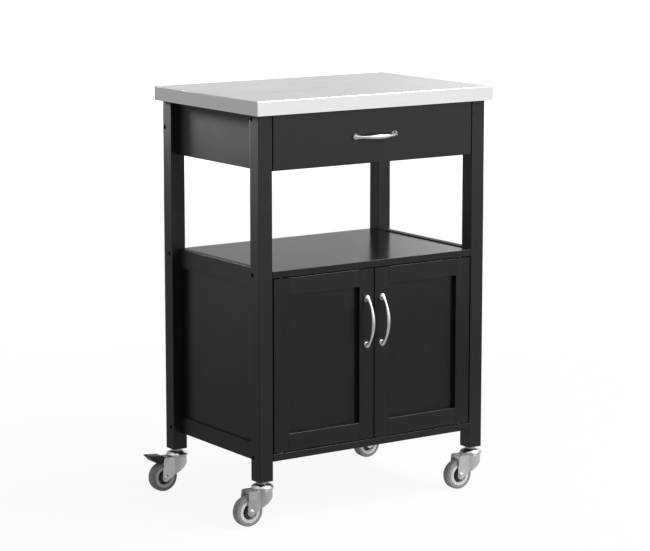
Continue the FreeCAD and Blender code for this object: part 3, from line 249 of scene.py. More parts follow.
@dataclass(frozen=True)
class Finish:
    """What every finish has: a name, the record's slot, two tones, a range of roughness and a relief."""

    name: str
    slot: str
    dark: Colour
    light: Colour
    gloss: Span
    metallic: float = 0.0
    sheen: float = 0.5
    relief: float = 0.1
    depth: float = 0.06 * MM

    def material(self) -> bpy.types.Material:
        """The finish as a material, made at its first use.

        Returns:
            The shared material.
        """
        title = f"{self.name}_finish"
        if title in bpy.data.materials:
            return bpy.data.materials[title]
        material = bpy.data.materials.new(title)
        material.use_nodes = True
        desk = NodeDesk(material.node_tree)
        on_piece = desk.place("ShaderNodeTexCoord", {}).outputs["Object"]
        tone, dullness, height = self.masks(desk, on_piece)
        bump = {"Strength": self.relief, "Distance": self.depth, "Height": height}
        looks = {
            "Base Color": desk.between(tone, self.dark, self.light),
            "Roughness": desk.slope(dullness, self.gloss),
            "Normal": desk.place("ShaderNodeBump", bump).outputs[0],
            "Metallic": self.metallic,
            "Specular IOR Level": self.sheen,
        }
        shader = desk.place("ShaderNodeBsdfPrincipled", looks)
        desk.place("ShaderNodeOutputMaterial", {"Surface": shader.outputs[0]})
        return material

    def masks(self, desk: NodeDesk, on_piece: Socket) -> Masks:
        """The finish's masks; each kind of finish has its own."""
        raise NotImplementedError

    def put_on(self, piece: Piece) -> None:
        """Gives a piece this finish in place of any other."""
        piece.data.materials.clear()
        piece.data.materials.append(self.material())


@dataclass(frozen=True)
class Lacquer(Finish):
    """Satin lacquer sprayed over wood whose fibres show faintly."""

    sheen: float = 0.4
    relief: float = 0.22
    depth: float = 0.12 * MM
    grain: Grain = Grain.ALONG_Z
    fibres_along: float = 9.0
    fibres_across: float = 260.0

    def masks(self, desk: NodeDesk, on_piece: Socket) -> Masks:
        """Fibres along the grain, the orange peel of the spray, and hands' smudges.

        Args:
            desk: the material's node desk.
            on_piece: the place on the piece.

        Returns:
            The masks.
        """
        stretch = stretch_for(self.grain, self.fibres_along, self.fibres_across)
        fibres = Streaks().use(desk, Vector=on_piece, Stretch=stretch, Contrast=2.4).outputs
        smudges = Mottle().use(desk, Vector=on_piece, Scale=14.0, Contrast=2.2).outputs["Patch"]
        spray = Mottle().use(desk, Vector=on_piece, Scale=90.0, Contrast=1.5).outputs["Grain"]
        uneven = desk.maths("MULTIPLY", desk.maths("ADD", fibres["Tone"], smudges), 0.5)
        return fibres["Tone"], uneven, desk.maths("ADD", fibres["Height"], spray)


@dataclass(frozen=True)
class BrushedMetal(Finish):
    """Metal brushed or rolled in one direction."""

    metallic: float = 1.0
    relief: float = 0.12
    depth: float = 0.05 * MM
    grain: Grain = Grain.ALONG_X
    lines_along: float = 6.0
    lines_across: float = 1400.0

    def masks(self, desk: NodeDesk, on_piece: Socket) -> Masks:
        """Hairlines along the grain, with gloss that changes in soft patches.

        Args:
            desk: the material's node desk.
            on_piece: the place on the piece.

        Returns:
            The masks.
        """
        stretch = stretch_for(self.grain, self.lines_along, self.lines_across)
        lines = Streaks().use(desk, Vector=on_piece, Stretch=stretch, Contrast=3.0).outputs
        patches = Mottle().use(desk, Vector=on_piece, Scale=9.0, Contrast=2.0).outputs["Patch"]
        return lines["Tone"], desk.maths("MULTIPLY", lines["Tone"], patches), lines["Height"]


@dataclass(frozen=True)
class Mottled(Finish):
    """A finish whose tone and gloss change in patches, with one of the mottle's outputs as its relief."""

    patches: float = 45.0
    contrast: float = 2.2
    raised: str = "Grain"

    def masks(self, desk: NodeDesk, on_piece: Socket) -> Masks:
        """Patches in the colour and the gloss, and the raised output in the relief."""
        mottle = Mottle().use(desk, Vector=on_piece, Scale=self.patches, Contrast=self.contrast).outputs
        return mottle["Patch"], mottle["Patch"], mottle[self.raised]


@dataclass(frozen=True)
class PlatedMetal(Mottled):
    """Tumbled and plated metal: bright, with a slightly uneven skin."""

    metallic: float = 1.0


@dataclass(frozen=True)
class Moulded(Mottled):
    """Moulded plastic or rubber with a fine matt texture and a trace of dust."""

    patches: float = 60.0
    contrast: float = 1.8
    relief: float = 0.25
    depth: float = 0.08 * MM


def black_lacquer(part: str, grain: Grain, gloss: Span) -> Lacquer:
    """The cart's black lacquer on one kind of part, with its fibres along the given direction."""
    tones = ((0.0034, 0.0033, 0.0034), (0.0070, 0.0068, 0.0067))
    return Lacquer(f"{part}_lacquer_{grain.value}", "black_wood", *tones, gloss, grain=grain)


# The solid legs and rails are sprayed duller than boards and doors, and the shelf is the smoothest.
RAIL_GLOSS = (0.40, 0.50)
BOARD_GLOSS = (0.26, 0.36)
SHELF_GLOSS = (0.15, 0.22)
RAIL_X, RAIL_Y, RAIL_Z = [black_lacquer("rail", grain, RAIL_GLOSS) for grain in Grain]
BOARD_X = black_lacquer("board", Grain.ALONG_X, BOARD_GLOSS)
BOARD_Z = black_lacquer("board", Grain.ALONG_Z, BOARD_GLOSS)
SHELF_X = black_lacquer("shelf", Grain.ALONG_X, SHELF_GLOSS)
DRAWER_FOIL = Lacquer(
    "drawer_foil", "drawer_board", (0.014, 0.0138, 0.0136), (0.022, 0.0215, 0.021), (0.42, 0.55),
    relief=0.12, grain=Grain.ALONG_Y,
)
WORKTOP_STEEL = BrushedMetal(
    "worktop_steel", "worktop_steel", (0.60, 0.60, 0.605), (0.70, 0.70, 0.705), (0.12, 0.2)
)
SLIDE_ZINC = BrushedMetal(
    "slide_zinc", "slide_steel", (0.50, 0.50, 0.51), (0.66, 0.66, 0.67), (0.24, 0.38), grain=Grain.ALONG_Y
)
SATIN_NICKEL = PlatedMetal("satin_nickel", "nickel", (0.72, 0.71, 0.69), (0.82, 0.81, 0.79), (0.30, 0.40))
BRIGHT_ZINC = PlatedMetal("bright_zinc", "zinc", (0.62, 0.605, 0.59), (0.78, 0.77, 0.755), (0.2, 0.34))
BLACKENED_STEEL = PlatedMetal(
    "blackened_steel", "bolt_steel", (0.012, 0.012, 0.013), (0.035, 0.034, 0.034), (0.35, 0.5), metallic=0.6,
    patches=220.0,
)
FITTING_STEEL = PlatedMetal(
    "fitting_steel", "bolt_steel", (0.42, 0.42, 0.42), (0.55, 0.55, 0.55), (0.25, 0.4), patches=160.0
)
GREY_RUBBER = Moulded("grey_rubber", "tyre_rubber", (0.225, 0.24, 0.235), (0.295, 0.31, 0.303), (0.62, 0.8))
RIM_PLASTIC = Moulded("rim_plastic", "hub_plastic", (0.62, 0.65, 0.645), (0.72, 0.74, 0.735), (0.32, 0.45))
# Dark grey: the hub's own dark plastic, made darker as painted shade for the deep recess inside the rim,
# with the boss painted just as dark.
HUB_PLASTIC_AND_SHADE = Moulded(
    "hub_core_plastic", "hub_plastic", (0.035, 0.037, 0.037), (0.06, 0.062, 0.062), (0.35, 0.5)
)
PEDAL_PLASTIC = Moulded(
    "pedal_plastic", "pedal_plastic", (0.006, 0.006, 0.0065), (0.012, 0.012, 0.0125), (0.3, 0.45)
)
CATCH_PLASTIC = Moulded(
    "catch_plastic", "catch_plastic", (0.03, 0.03, 0.03), (0.045, 0.045, 0.045), (0.4, 0.55)
)
# Specks of fibre in a paler ground.
CORE_BOARD = Mottled(
    "core_board", "core_board", (0.34, 0.245, 0.16), (0.47, 0.36, 0.25), (0.75, 0.9), relief=0.3,
    depth=0.1 * MM, patches=420.0, contrast=3.2, raised="Patch",
)


# Meshes


def scaled(pairs: Profile, across: float = MM, up: float = MM, level: float = 0.0) -> list[Span]:
    """A profile with its radii and heights scaled, from millimetres if nothing else is said, and raised."""
    return [(radius * across, level + height * up) for radius, height in pairs]


def both_ways(half: Profile) -> list[Span]:
    """A profile from its upper half: the half, and then its mirror image below Z = 0."""
    return [*half, *((radius, -height) for radius, height in reversed(half))]


def verts_in(parts: Iterable[object]) -> list[Vert]:
    """The vertices among the parts that an operator gives back."""
    return [part for part in parts if isinstance(part, Vert)]


def rises(edge: Edge) -> bool:
    """Whether an edge's ends lie at different heights."""
    return abs(edge.verts[0].co.z - edge.verts[1].co.z) > TINY


def lies_behind(edge: Edge, line: float) -> bool:
    """Whether both ends of an edge of the fork lie behind a line, towards -X."""
    return all(vert.co.x < line for vert in edge.verts)


def height_of(face: bmesh.types.BMFace) -> float:
    """The height of a face's middle."""
    return face.calc_center_median().z


class Workpiece:
    """A mesh under way, shaped by bmesh operators."""

    def __init__(self) -> None:
        """Starts with an empty mesh."""
        self.mesh = bmesh.new()

    def box(self, low: Point, high: Point, rounding: float = 0.0) -> None:
        """Adds a box between two corners.

        Args:
            low: the lowest corner.
            high: the highest corner.
            rounding: the radius on all its edges, or 0.
        """
        size = Vector(high) - Vector(low)
        matrix = Matrix.Translation((Vector(low) + Vector(high)) / 2) @ Matrix.Diagonal((*size, 1.0))
        verts = bmesh.ops.create_cube(self.mesh, size=1.0, matrix=matrix)["verts"]
        if rounding:
            self.round(self.edges_of(verts), rounding)

    def edges_of(self, verts: Iterable[Vert]) -> list[Edge]:
        """The edges at the given vertices, each once."""
        return list(dict.fromkeys(edge for vert in verts for edge in vert.link_edges))

    def round(self, edges: Iterable[Edge], radius: float, steps: int = 2) -> None:
        """Bevels edges into a round.

        Args:
            edges: the edges.
            radius: how far the round reaches.
            steps: its facets.
        """
        bmesh.ops.bevel(
            self.mesh, geom=list(edges), offset=radius, offset_type="OFFSET", segments=steps, profile=0.5,
            affect="EDGES", material=-1, clamp_overlap=True,
        )

    def turn(self, profile: Profile, steps: int, closed: bool = False) -> "Workpiece":
        """Spins a profile about Z.

        Args:
            profile: pairs of radius and height, in order along the profile.
            steps: facets in a full turn.
            closed: whether the last point joins the first, as in a ring.

        Returns:
            This workpiece.
        """
        verts = [self.mesh.verts.new((radius, 0.0, height)) for radius, height in profile]
        followers = verts[1:] + verts[:1] if closed else verts[1:]
        edges = [self.mesh.edges.new(pair) for pair in zip(verts, followers)]
        bmesh.ops.spin(
            self.mesh, geom=verts + edges, cent=(0, 0, 0), axis=(0, 0, 1), dvec=(0, 0, 0), angle=FULL_TURN,
            steps=steps, use_merge=True,
        )
        bmesh.ops.remove_doubles(self.mesh, verts=self.mesh.verts, dist=WELD)
        bmesh.ops.recalc_face_normals(self.mesh, faces=self.mesh.faces)
        return self

    def extrude(self, edges: Sequence[Edge]) -> list[Vert]:
        """Draws faces out of edges, and gives back the new vertices."""
        return verts_in(bmesh.ops.extrude_edge_only(self.mesh, edges=edges)["geom"])

    def grow(self, edges: Sequence[Edge], step: Point) -> None:
        """Draws faces out of edges, as wide as a step."""
        bmesh.ops.translate(self.mesh, verts=self.extrude(edges), vec=step)

    def sweep(self, rings: Sequence[Matrix], facets: int) -> None:
        """Draws a round section along a path and closes both ends.

        Args:
            rings: where the unit circle goes at each step of the path.
            facets: the section's vertices.
        """
        start = bmesh.ops.create_circle(self.mesh, segments=facets, radius=1.0, matrix=rings[0])
        edges = self.edges_of(start["verts"])
        bmesh.ops.edgeloop_fill(self.mesh, edges=edges)
        for before, after in zip(rings, rings[1:]):
            verts = self.extrude(edges)
            new = set(verts)
            edges = [edge for edge in self.edges_of(verts) if new.issuperset(edge.verts)]
            bmesh.ops.transform(self.mesh, matrix=after @ before.inverted(), verts=verts)
        bmesh.ops.edgeloop_fill(self.mesh, edges=edges)
        bmesh.ops.recalc_face_normals(self.mesh, faces=self.mesh.faces)

    def plate(self, outline: Profile, half_width: float) -> None:
        """Adds a plate of an outline in the XZ plane.

        Args:
            outline: pairs of X and Z in order round the outline.
            half_width: half of the thickness along Y.
        """
        face = self.mesh.faces.new([self.mesh.verts.new((x, -half_width, z)) for x, z in outline])
        far = verts_in(bmesh.ops.extrude_face_region(self.mesh, geom=[face])["geom"])
        bmesh.ops.translate(self.mesh, verts=far, vec=(0, 2 * half_width, 0))
        bmesh.ops.recalc_face_normals(self.mesh, faces=self.mesh.faces)

    def slice(self, at: Point, outwards: Point) -> None:
        """Cuts off all that lies beyond a plane.

        Args:
            at: a point of the plane.
            outwards: its normal, which points to the side that goes.
        """
        parts = [*self.mesh.verts, *self.mesh.edges, *self.mesh.faces]
        bmesh.ops.bisect_plane(
            self.mesh, geom=parts, dist=WELD, plane_co=at, plane_no=outwards, clear_outer=True
        )

    def move(self, matrix: Matrix) -> "Workpiece":
        """Moves the whole mesh."""
        bmesh.ops.transform(self.mesh, matrix=matrix, verts=self.mesh.verts)
        return self

    def join(self, other: "Workpiece", matrix: Matrix = Matrix.Identity(4)) -> None:
        """Adds a copy of another workpiece.

        Args:
            other: the workpiece to copy; it stays as it is.
            matrix: where the copy goes.
        """
        carrier = bpy.data.meshes.new("carrier")
        other.mesh.to_mesh(carrier)
        carrier.transform(matrix)
        self.mesh.from_mesh(carrier)
        bpy.data.meshes.remove(carrier)

    def hang(
        self, name: str, body: str, finish: Finish, replaced: Sequence[str] = (), crease: float = 35.0
    ) -> Piece:
        """Makes the mesh a piece of the scene that rides on a body.

        Args:
            name: the piece's name.
            body: the body that it moves with.
            finish: its finish.
            replaced: the frame's nodes that it stands for.
            crease: edges sharper than this many degrees stay sharp.

        Returns:
            The piece's object.
        """
        data = bpy.data.meshes.new(name)
        self.mesh.to_mesh(data)
        self.mesh.free()
        data.shade_smooth()
        data.set_sharp_from_angle(angle=math.radians(crease))
        piece = bpy.data.objects.new(name, data)
        bpy.context.scene.collection.objects.link(piece)
        finish.put_on(piece)
        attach(piece, body)
        if replaced:
            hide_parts(*replaced)
        LOG.info("%s: %d faces, on %s", name, len(data.polygons), body)
        return piece


def thicken(piece: Piece, metal: float) -> None:
    """Gives a sheet its thickness, on its inner side.

    Args:
        piece: the sheet.
        metal: its thickness.
    """
    wall = piece.modifiers.new("sheet", "SOLIDIFY")
    wall.thickness = metal
    wall.offset = -1.0
    wall.use_even_offset = True


def soften(piece: Piece, radius: float) -> None:
    """Rounds the sharp edges of a finished piece with a modifier.

    Args:
        piece: the piece.
        radius: the rounding's width.
    """
    modifier = piece.modifiers.new("edges", "BEVEL")
    modifier.width = radius
    modifier.segments = 2
    modifier.limit_method = "ANGLE"
    modifier.angle_limit = math.radians(40.0)
    modifier.harden_normals = True


def flatten(piece: Piece) -> None:
    """Keeps the shading of a piece's large faces flat beside narrow roundings."""
    modifier = piece.modifiers.new("flat_faces", "WEIGHTED_NORMAL")
    modifier.weight = 100
    modifier.keep_sharp = True


def dress_nodes(prefixes: tuple[str, ...], finish: Finish, rounding: float = 0.0) -> None:
    """Gives every node of the frame whose name starts with a prefix its finish.

    Args:
        prefixes: the starts of the names.
        finish: the finish.
        rounding: how far its sharp edges are rounded, or 0.
    """
    for name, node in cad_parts.items():
        if name.startswith(prefixes):
            finish.put_on(node)
            if rounding:
                weld = node.modifiers.new("weld", "WELD")
                weld.merge_threshold = TINY
                soften(node, rounding)
            LOG.info("%s dressed in %s", name, finish.name)


# Turns a piece's axis from Z to Y.
ABOUT_Y = Matrix.Rotation(-math.pi / 2, 4, "X")


@dataclass(frozen=True)
class Corner:
    """One of the cart's four corners, with the axis of its caster's stem."""

    end: End
    side: Side
    stem_x: float = 277.0 * MM
    stem_y: float = 176.0 * MM

    @property
    def name(self) -> str:
        """The corner's part of a piece's name."""
        return f"{self.end.name.lower()}_{self.side.name.lower()}"

    @property
    def stem(self) -> Matrix:
        """Moves a caster piece from the origin to this corner."""
        return Matrix.Translation((self.side.value * self.stem_x, self.end.value * self.stem_y, 0.0))


# Sub-assemblies


@dataclass
class CabinetFrame:
    """Legs, rails, panels, shelf and boards: the frame's own nodes, each with its finish."""

    dressed: tuple[tuple[tuple[str, ...], Finish], ...] = (
        (("apron_left", "apron_right", "mid_rail_", "low_rail_"), RAIL_Y),
        (("apron_rear", "front_strip"), RAIL_X),
        (("side_panel_", "back_panel"), BOARD_Z),
        (("shelf",), SHELF_X),
        (("bottom_board",), BOARD_X),
        (("frame_bolts",), BLACKENED_STEEL),
        (("door_pivot_pins",), FITTING_STEEL),
        (("door_catch",), CATCH_PLASTIC),
    )
    leg_round: float = 0.8 * MM
    screw_radius: float = 3.4 * MM
    screw_height: float = 1.1 * MM
    # in shares of the screw's radius and height
    screw_profile: Profile = ((0.0, 0.5), (0.4, 0.5), (0.5, 1.0), (0.8, 0.85), (1.0, 0.0))
    screw_inset: float = 9.0 * MM
    screws_up: int = 4

    def build(self) -> None:
        """Dresses the boards and the fasteners, and sets the screws of the back panel."""
        dress_nodes(("leg_",), RAIL_Z, self.leg_round)
        for prefixes, finish in self.dressed:
            dress_nodes(prefixes, finish)
        self.set_back_screws()

    def set_back_screws(self) -> None:
        """Screws down both edges of the back panel, and one at the middle of its top and bottom."""
        low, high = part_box("back_panel")
        profile = scaled(self.screw_profile, self.screw_radius, self.screw_height)
        head = Workpiece().turn(profile, steps=20)
        screws = Workpiece()
        rise = (high.z - low.z - 2 * self.screw_inset) / (self.screws_up - 1)
        for across in (low.x + self.screw_inset, 0.0, high.x - self.screw_inset):
            for step in range(self.screws_up):
                end_row = step in (0, self.screws_up - 1)
                if across == 0.0 and not end_row:
                    continue
                place = Matrix.Translation((across, high.y, low.z + self.screw_inset + step * rise))
                screws.join(head, place @ ABOUT_Y)
        screws.hang("back_panel_screws", "cart_frame", BLACKENED_STEEL)


@dataclass
class Worktop:
    """The steel skin, folded over the edges of its board."""

    metal: float = 0.8 * MM
    corner_round: float = 1.6 * MM
    edge_round: float = 1.2 * MM

    def build(self) -> None:
        """Makes the skin and dresses the core under it."""
        skin = Workpiece()
        skin.box(*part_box("worktop_skin"))
        skin.round([edge for edge in skin.mesh.edges if rises(edge)], self.corner_round, steps=5)
        underside = min(skin.mesh.faces, key=height_of)
        top_rim = list(max(skin.mesh.faces, key=height_of).edges)
        bmesh.ops.delete(skin.mesh, geom=[underside], context="FACES_ONLY")
        skin.round(top_rim, self.edge_round, steps=4)
        piece = skin.hang("worktop_sheet", "cart_frame", WORKTOP_STEEL, ["worktop_skin"])
        thicken(piece, self.metal)
        flatten(piece)
        dress_nodes(("worktop_core",), CORE_BOARD)


@dataclass
class BowHandle:
    """A bow handle with trumpet-shaped feet, and the heads of its two screws."""

    body: str
    upright: bool
    board: float
    screw_radius: float = 4.2 * MM
    screw_height: float = 2.2 * MM
    # in shares of the screw's radius and height
    screw_profile: Profile = ((0.0, 0.45), (0.3, 0.5), (0.42, 1.0), (0.7, 0.95), (0.95, 0.55), (1.0, 0.0))
    # distance from the middle, distance out, half width and half thickness in millimetres
    stations: tuple[tuple[float, float, float, float], ...] = (
        (51.0, 0.0, 7.2, 7.2), (51.0, 1.0, 7.4, 7.4), (51.0, 2.0, 7.2, 7.2), (50.6, 3.2, 6.4, 6.4),
        (49.8, 4.8, 5.4, 5.3), (48.2, 7.0, 4.5, 4.3), (45.6, 9.8, 3.7, 3.4), (42.0, 12.8, 3.1, 2.8),
        (37.2, 15.9, 2.8, 2.4), (31.2, 18.9, 3.0, 2.3), (24.4, 21.6, 3.5, 2.35), (16.6, 23.8, 4.05, 2.45),
        (8.4, 25.1, 4.35, 2.5), (0.0, 25.5, 4.4, 2.5),
    )

    def rings(self) -> list[Matrix]:
        """Where the section's circle goes at each station of the whole bow, from one foot to the other.

        Returns:
            One matrix for each station.
        """
        stations = [*self.stations, *((-along, *others) for along, *others in self.stations[-2::-1])]
        places = [Vector((along, -out, 0.0)) * MM for along, out, _, _ in stations]
        steps = zip([places[0], *places], places, [*places[1:], places[-1]], stations)
        width_way = Vector((0.0, 0.0, 1.0))
        rings = []
        for before, place, after, (_, _, wide, thick) in steps:
            onward = (after - before).normalized()
            turn = Matrix((width_way, onward.cross(width_way), onward)).transposed().to_4x4()
            section = Matrix.Diagonal((wide * MM, thick * MM, 1.0, 1.0))
            rings.append(Matrix.Translation(place) @ turn @ section)
        return rings

    def build(self) -> None:
        """Sweeps the bow, adds the screws' heads behind the board and sets both in place."""
        node = f"{self.body}_handle"
        low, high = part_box(node)
        middle = (low + high) / 2
        turn = Matrix.Rotation(math.pi / 2, 4, "Y") if self.upright else Matrix.Identity(4)
        face = high.y - self.screw_height - self.board
        place = Matrix.Translation((middle.x, face, middle.z)) @ turn
        bow = Workpiece()
        bow.sweep(self.rings(), facets=24)
        bow.move(place).hang(f"{self.body}_bow", self.body, SATIN_NICKEL, [node], crease=50.0)
        profile = scaled(self.screw_profile, self.screw_radius, self.screw_height)
        head = Workpiece().turn(profile, steps=28)
        heads = Workpiece()
        foot = self.stations[0][0] * MM
        for across in (-foot, foot):
            heads.join(head, place @ Matrix.Translation((across, self.board, 0.0)) @ ABOUT_Y)
        heads.hang(f"{self.body}_bow_screws", self.body, FITTING_STEEL)


@dataclass
class Drawer:
    """The drawer's front and box, its slides and its handle."""

    front_board: float = 16.0 * MM

    def build(self) -> None:
        """Dresses the boards and the slides, and makes the handle."""
        dress_nodes(("drawer_front",), BOARD_X)
        dress_nodes(("drawer_side_", "drawer_back", "drawer_bottom"), DRAWER_FOIL)
        dress_nodes(("slide_",), SLIDE_ZINC)
        BowHandle("drawer", upright=False, board=self.front_board).build()


@dataclass
class Door:
    """One frame-and-panel door with its handle."""

    side: Side
    thickness: float = 18.0 * MM

    def build(self) -> None:
        """Dresses stiles, rails and panel along their own grain, and makes the handle."""
        name = f"door_{self.side.name.lower()}"
        dress_nodes((f"{name}_hinge_stile", f"{name}_handle_stile", f"{name}_panel"), BOARD_Z)
        dress_nodes((f"{name}_top_rail", f"{name}_bottom_rail"), BOARD_X)
        dress_nodes((f"{name}_fittings",), FITTING_STEEL)
        BowHandle(name, upright=True, board=self.thickness).build()


@dataclass
class SwivelCaster:
    """A swivel caster: stem, raceway, stamped fork, axle and wheel."""

    corner: Corner
    trail: float = 37.0 * MM
    wheel_radius: float = 32.5 * MM
    leg_base: float = 93.0 * MM
    leg_gap: float = 0.1 * MM
    crown_height: float = 77.0 * MM
    crown_radius: float = 22.0 * MM
    crown_rear: float = 19.0 * MM
    running_gap: float = 0.4 * MM
    half_width: float = 16.2 * MM
    metal: float = 2.2 * MM
    metal_round: float = 0.35 * MM
    skirt: float = 14.0 * MM
    boss_radius: float = 9.0 * MM
    boss_touch: Span = (0.67, 0.74)
    boss_angles: tuple[int, ...] = (-75, -95, -115, -135, -155, -172)
    ear_rear: float = 42.0 * MM
    fold_round: float = 2.6 * MM
    nut_radius: float = 11.0 * MM
    nut_height: float = 5.5 * MM
    nut_round: float = 0.5 * MM
    # distance behind the stem's axis and height above the floor
    pedal_pin: Span = (34.0 * MM, 71.5 * MM)
    # radius and height
    axle_head: Span = (6.5 * MM, 4.5 * MM)
    pin_head: Span = (3.6 * MM, 1.4 * MM)
    # in shares of a head's radius and height
    head_profile: Profile = (
        (0.0, 0.62), (0.22, 0.66), (0.34, 0.96), (0.52, 1.0), (0.74, 0.9), (0.92, 0.6), (1.0, 0.2),
        (1.0, 0.0), (0.6, 0.0),
    )
    # the pedal's stop, from corner to corner in millimetres, under the crown's sheet
    leaf: tuple[Point, Point] = ((-27.0, -6.0, 0.0), (-18.0, 6.0, 1.2))
    leaf_round: float = 0.4 * MM
    # radius and height in millimetres; 0 is the nut's base, the raceway's lower side, the crown's lower side
    dome: Profile = (
        (0.0, 0.2), (12.2, 0.2), (13.6, -0.1), (17.5, -1.2), (20.8, -2.9), (23.2, -5.0), (24.4, -7.4),
        (24.5, -9.0),
    )
    race: Profile = ((24.2, 0.2), (23.6, 0.0), (0.0, 0.0))
    kingpin: Profile = (
        (0.0, -2.0), (5.0, -1.9), (6.6, -1.2), (7.0, -0.3), (6.8, 0.0), (4.0, 0.0), (4.0, 3.4), (0.0, 3.4)
    )
    # radius and height in millimetres, upper half only
    hub: Profile = (
        (4.1, 13.4), (7.4, 13.6), (8.5, 13.0), (8.6, 9.4), (10.4, 9.0), (11.0, 8.2), (11.1, 5.0),
        (13.2, 4.6), (13.6, 5.6), (14.6, 5.6), (15.0, 4.2), (17.4, 3.6), (17.4, 0.4),
    )
    rim: Profile = (
        (17.0, 0.3), (17.05, 9.6), (17.5, 10.6), (18.4, 11.0), (21.6, 10.9), (22.0, 10.5), (22.6, 10.5),
        (23.0, 10.9), (24.0, 10.8), (24.4, 10.2), (24.5, 0.3),
    )
    tyre: Profile = (
        (24.5, 0.3), (24.5, 9.6), (25.0, 9.8), (25.5, 10.7), (26.1, 11.0), (28.6, 11.0), (29.9, 10.6),
        (31.1, 9.6), (31.9, 8.2), (32.3, 6.4), (32.45, 4.0), (32.5, 1.2),
    )

    def build(self) -> None:
        """Makes the fork and the wheel of this corner, and at the rear the brake."""
        self.make_fork()
        self.make_wheel()
        if self.corner.end is End.REAR:
            BrakePedal(self.corner, self.pedal_pin).build()

    def stem(self) -> Workpiece:
        """The hexagon nut, the domed raceway and the kingpin's head, which belong to the frame.

        Returns:
            Their mesh, with the axis on Z.
        """
        nut_base = self.leg_base - self.nut_height
        nut_top = self.leg_base - self.leg_gap
        nut = Workpiece()
        bmesh.ops.create_cone(
            nut.mesh, cap_ends=True, segments=6, radius1=self.nut_radius, radius2=self.nut_radius,
            depth=nut_top - nut_base, matrix=Matrix.Translation((0, 0, (nut_base + nut_top) / 2)),
        )
        nut.round(nut.mesh.edges, self.nut_round)
        race = self.crown_height + self.running_gap
        dome = Workpiece().turn(scaled(self.dome, level=nut_base) + scaled(self.race, level=race), steps=72)
        under = self.crown_height - self.metal - self.running_gap
        kingpin = Workpiece().turn(scaled(self.kingpin, level=under), steps=32)
        dome.join(nut)
        dome.join(kingpin)
        return dome

    def fork_shell(self) -> Workpiece:
        """The sheet of the stamped fork: a crown with a skirt that runs back into two ears.

        Returns:
            The fork's outer surface, without its thickness.
        """
        shell = Workpiece()
        mesh = shell.mesh
        top = Matrix.Translation((0, 0, self.crown_height))
        bmesh.ops.create_circle(mesh, cap_ends=True, radius=self.crown_radius, segments=96, matrix=top)
        meet = math.sqrt(self.crown_radius**2 - self.half_width**2)
        shell.slice((-meet, 0, 0), (-1, 0, 0))
        rear = [edge for edge in mesh.edges if lies_behind(edge, TINY - meet)]
        shell.grow(rear, (meet - self.crown_rear, 0, 0))
        rear_line = TINY - self.crown_rear
        rim = [edge for edge in mesh.edges if edge.is_boundary and not lies_behind(edge, rear_line)]
        boss_low = self.wheel_radius - self.boss_radius
        shell.grow(rim, (0, 0, boss_low - self.crown_height))
        ear_fronts = [
            edge for edge in mesh.edges if edge.is_boundary and lies_behind(edge, rear_line) and rises(edge)
        ]
        rearmost = self.trail + self.boss_radius
        shell.grow(ear_fronts, (self.crown_rear - rearmost, 0, 0))
        fold = [
            edge for edge in mesh.edges
            if not edge.is_boundary and not lies_behind(edge, rear_line)
            and all(vert.co.z > self.crown_height - TINY for vert in edge.verts)
            and any(abs(face.normal.z) < 0.5 for face in edge.link_faces)
        ]
        shell.round(fold, self.fold_round, steps=4)
        self.trim_side(shell)
        bmesh.ops.recalc_face_normals(mesh, faces=mesh.faces)
        if max(mesh.faces, key=height_of).normal.z < 0:
            bmesh.ops.reverse_faces(mesh, faces=mesh.faces)
        return shell

    def trim_side(self, shell: Workpiece) -> None:
        """Cuts the fork's side outline: slanting front edge, round boss, rear edge and top corner.

        Args:
            shell: the fork's surface.
        """
        across, down = self.boss_touch
        start = Vector((self.crown_radius, 0, self.crown_height - self.skirt))
        axle = Vector((-self.trail, 0, self.wheel_radius))
        along = axle + Vector((across, 0, -down)) * self.boss_radius - start
        shell.slice(start, (-along.z, 0, along.x))
        for degrees in self.boss_angles:
            angle = math.radians(degrees)
            outwards = Vector((math.cos(angle), 0, math.sin(angle)))
            shell.slice(axle + outwards * self.boss_radius, outwards)
        low = Vector((-self.trail - self.boss_radius, 0, self.wheel_radius))
        high = Vector((-self.ear_rear, 0, self.crown_height - self.metal))
        edge = high - low
        shell.slice(low, (-edge.z, 0, edge.x))
        shell.slice(high, (-1, 0, 1))

    def cross_pin(self, head: Span, place: Span) -> Workpiece:
        """A pin with dimpled heads on both ears.

        Args:
            head: the heads' radius and height.
            place: distance behind the stem's axis, and height above the floor.

        Returns:
            The pin.
        """
        profile = both_ways(scaled(self.head_profile, *head, self.half_width))
        back, level = place
        return Workpiece().turn(profile, steps=40).move(Matrix.Translation((-back, 0, level)) @ ABOUT_Y)

    def make_fork(self) -> None:
        """The fork with its axle and, at the rear, the pedal's pin and stop leaf."""
        name = self.corner.name
        body = f"caster_{name}"
        shell = self.fork_shell().move(self.corner.stem)
        piece = shell.hang(f"fork_{name}_shell", body, BRIGHT_ZINC, [f"fork_{name}"], crease=36.0)
        thicken(piece, self.metal)
        soften(piece, self.metal_round)
        flatten(piece)
        pins = self.cross_pin(self.axle_head, (self.trail, self.wheel_radius))
        if self.corner.end is End.REAR:
            pins.join(self.cross_pin(self.pin_head, self.pedal_pin))
            under = Vector((0.0, 0.0, self.crown_height - self.metal))
            low, high = (under + Vector(point) * MM for point in self.leaf)
            pins.box(low, high, self.leaf_round)
        pins.move(self.corner.stem).hang(f"axle_{name}", body, BRIGHT_ZINC)

    def make_wheel(self) -> None:
        """The tyre, the pale rim and the dark hub inside it; the hub's dark colour is partly its own plastic
        and partly painted shade of the recess inside the rim.
        """
        name = self.corner.name
        body = f"wheel_{name}"
        place = self.corner.stem @ Matrix.Translation((-self.trail, 0, self.wheel_radius)) @ ABOUT_Y
        hub, rim, tyre = [self.ring(half).move(place) for half in (self.hub, self.rim, self.tyre)]
        # The hub's dark colour is partly painted shade of the recess inside the rim.
        hub.hang(f"wheel_core_{name}", body, HUB_PLASTIC_AND_SHADE, [f"hub_{name}"])
        rim.hang(f"wheel_rim_{name}", body, RIM_PLASTIC)
        tyre.hang(f"wheel_tyre_{name}", body, GREY_RUBBER, [f"tyre_{name}"], crease=50.0)

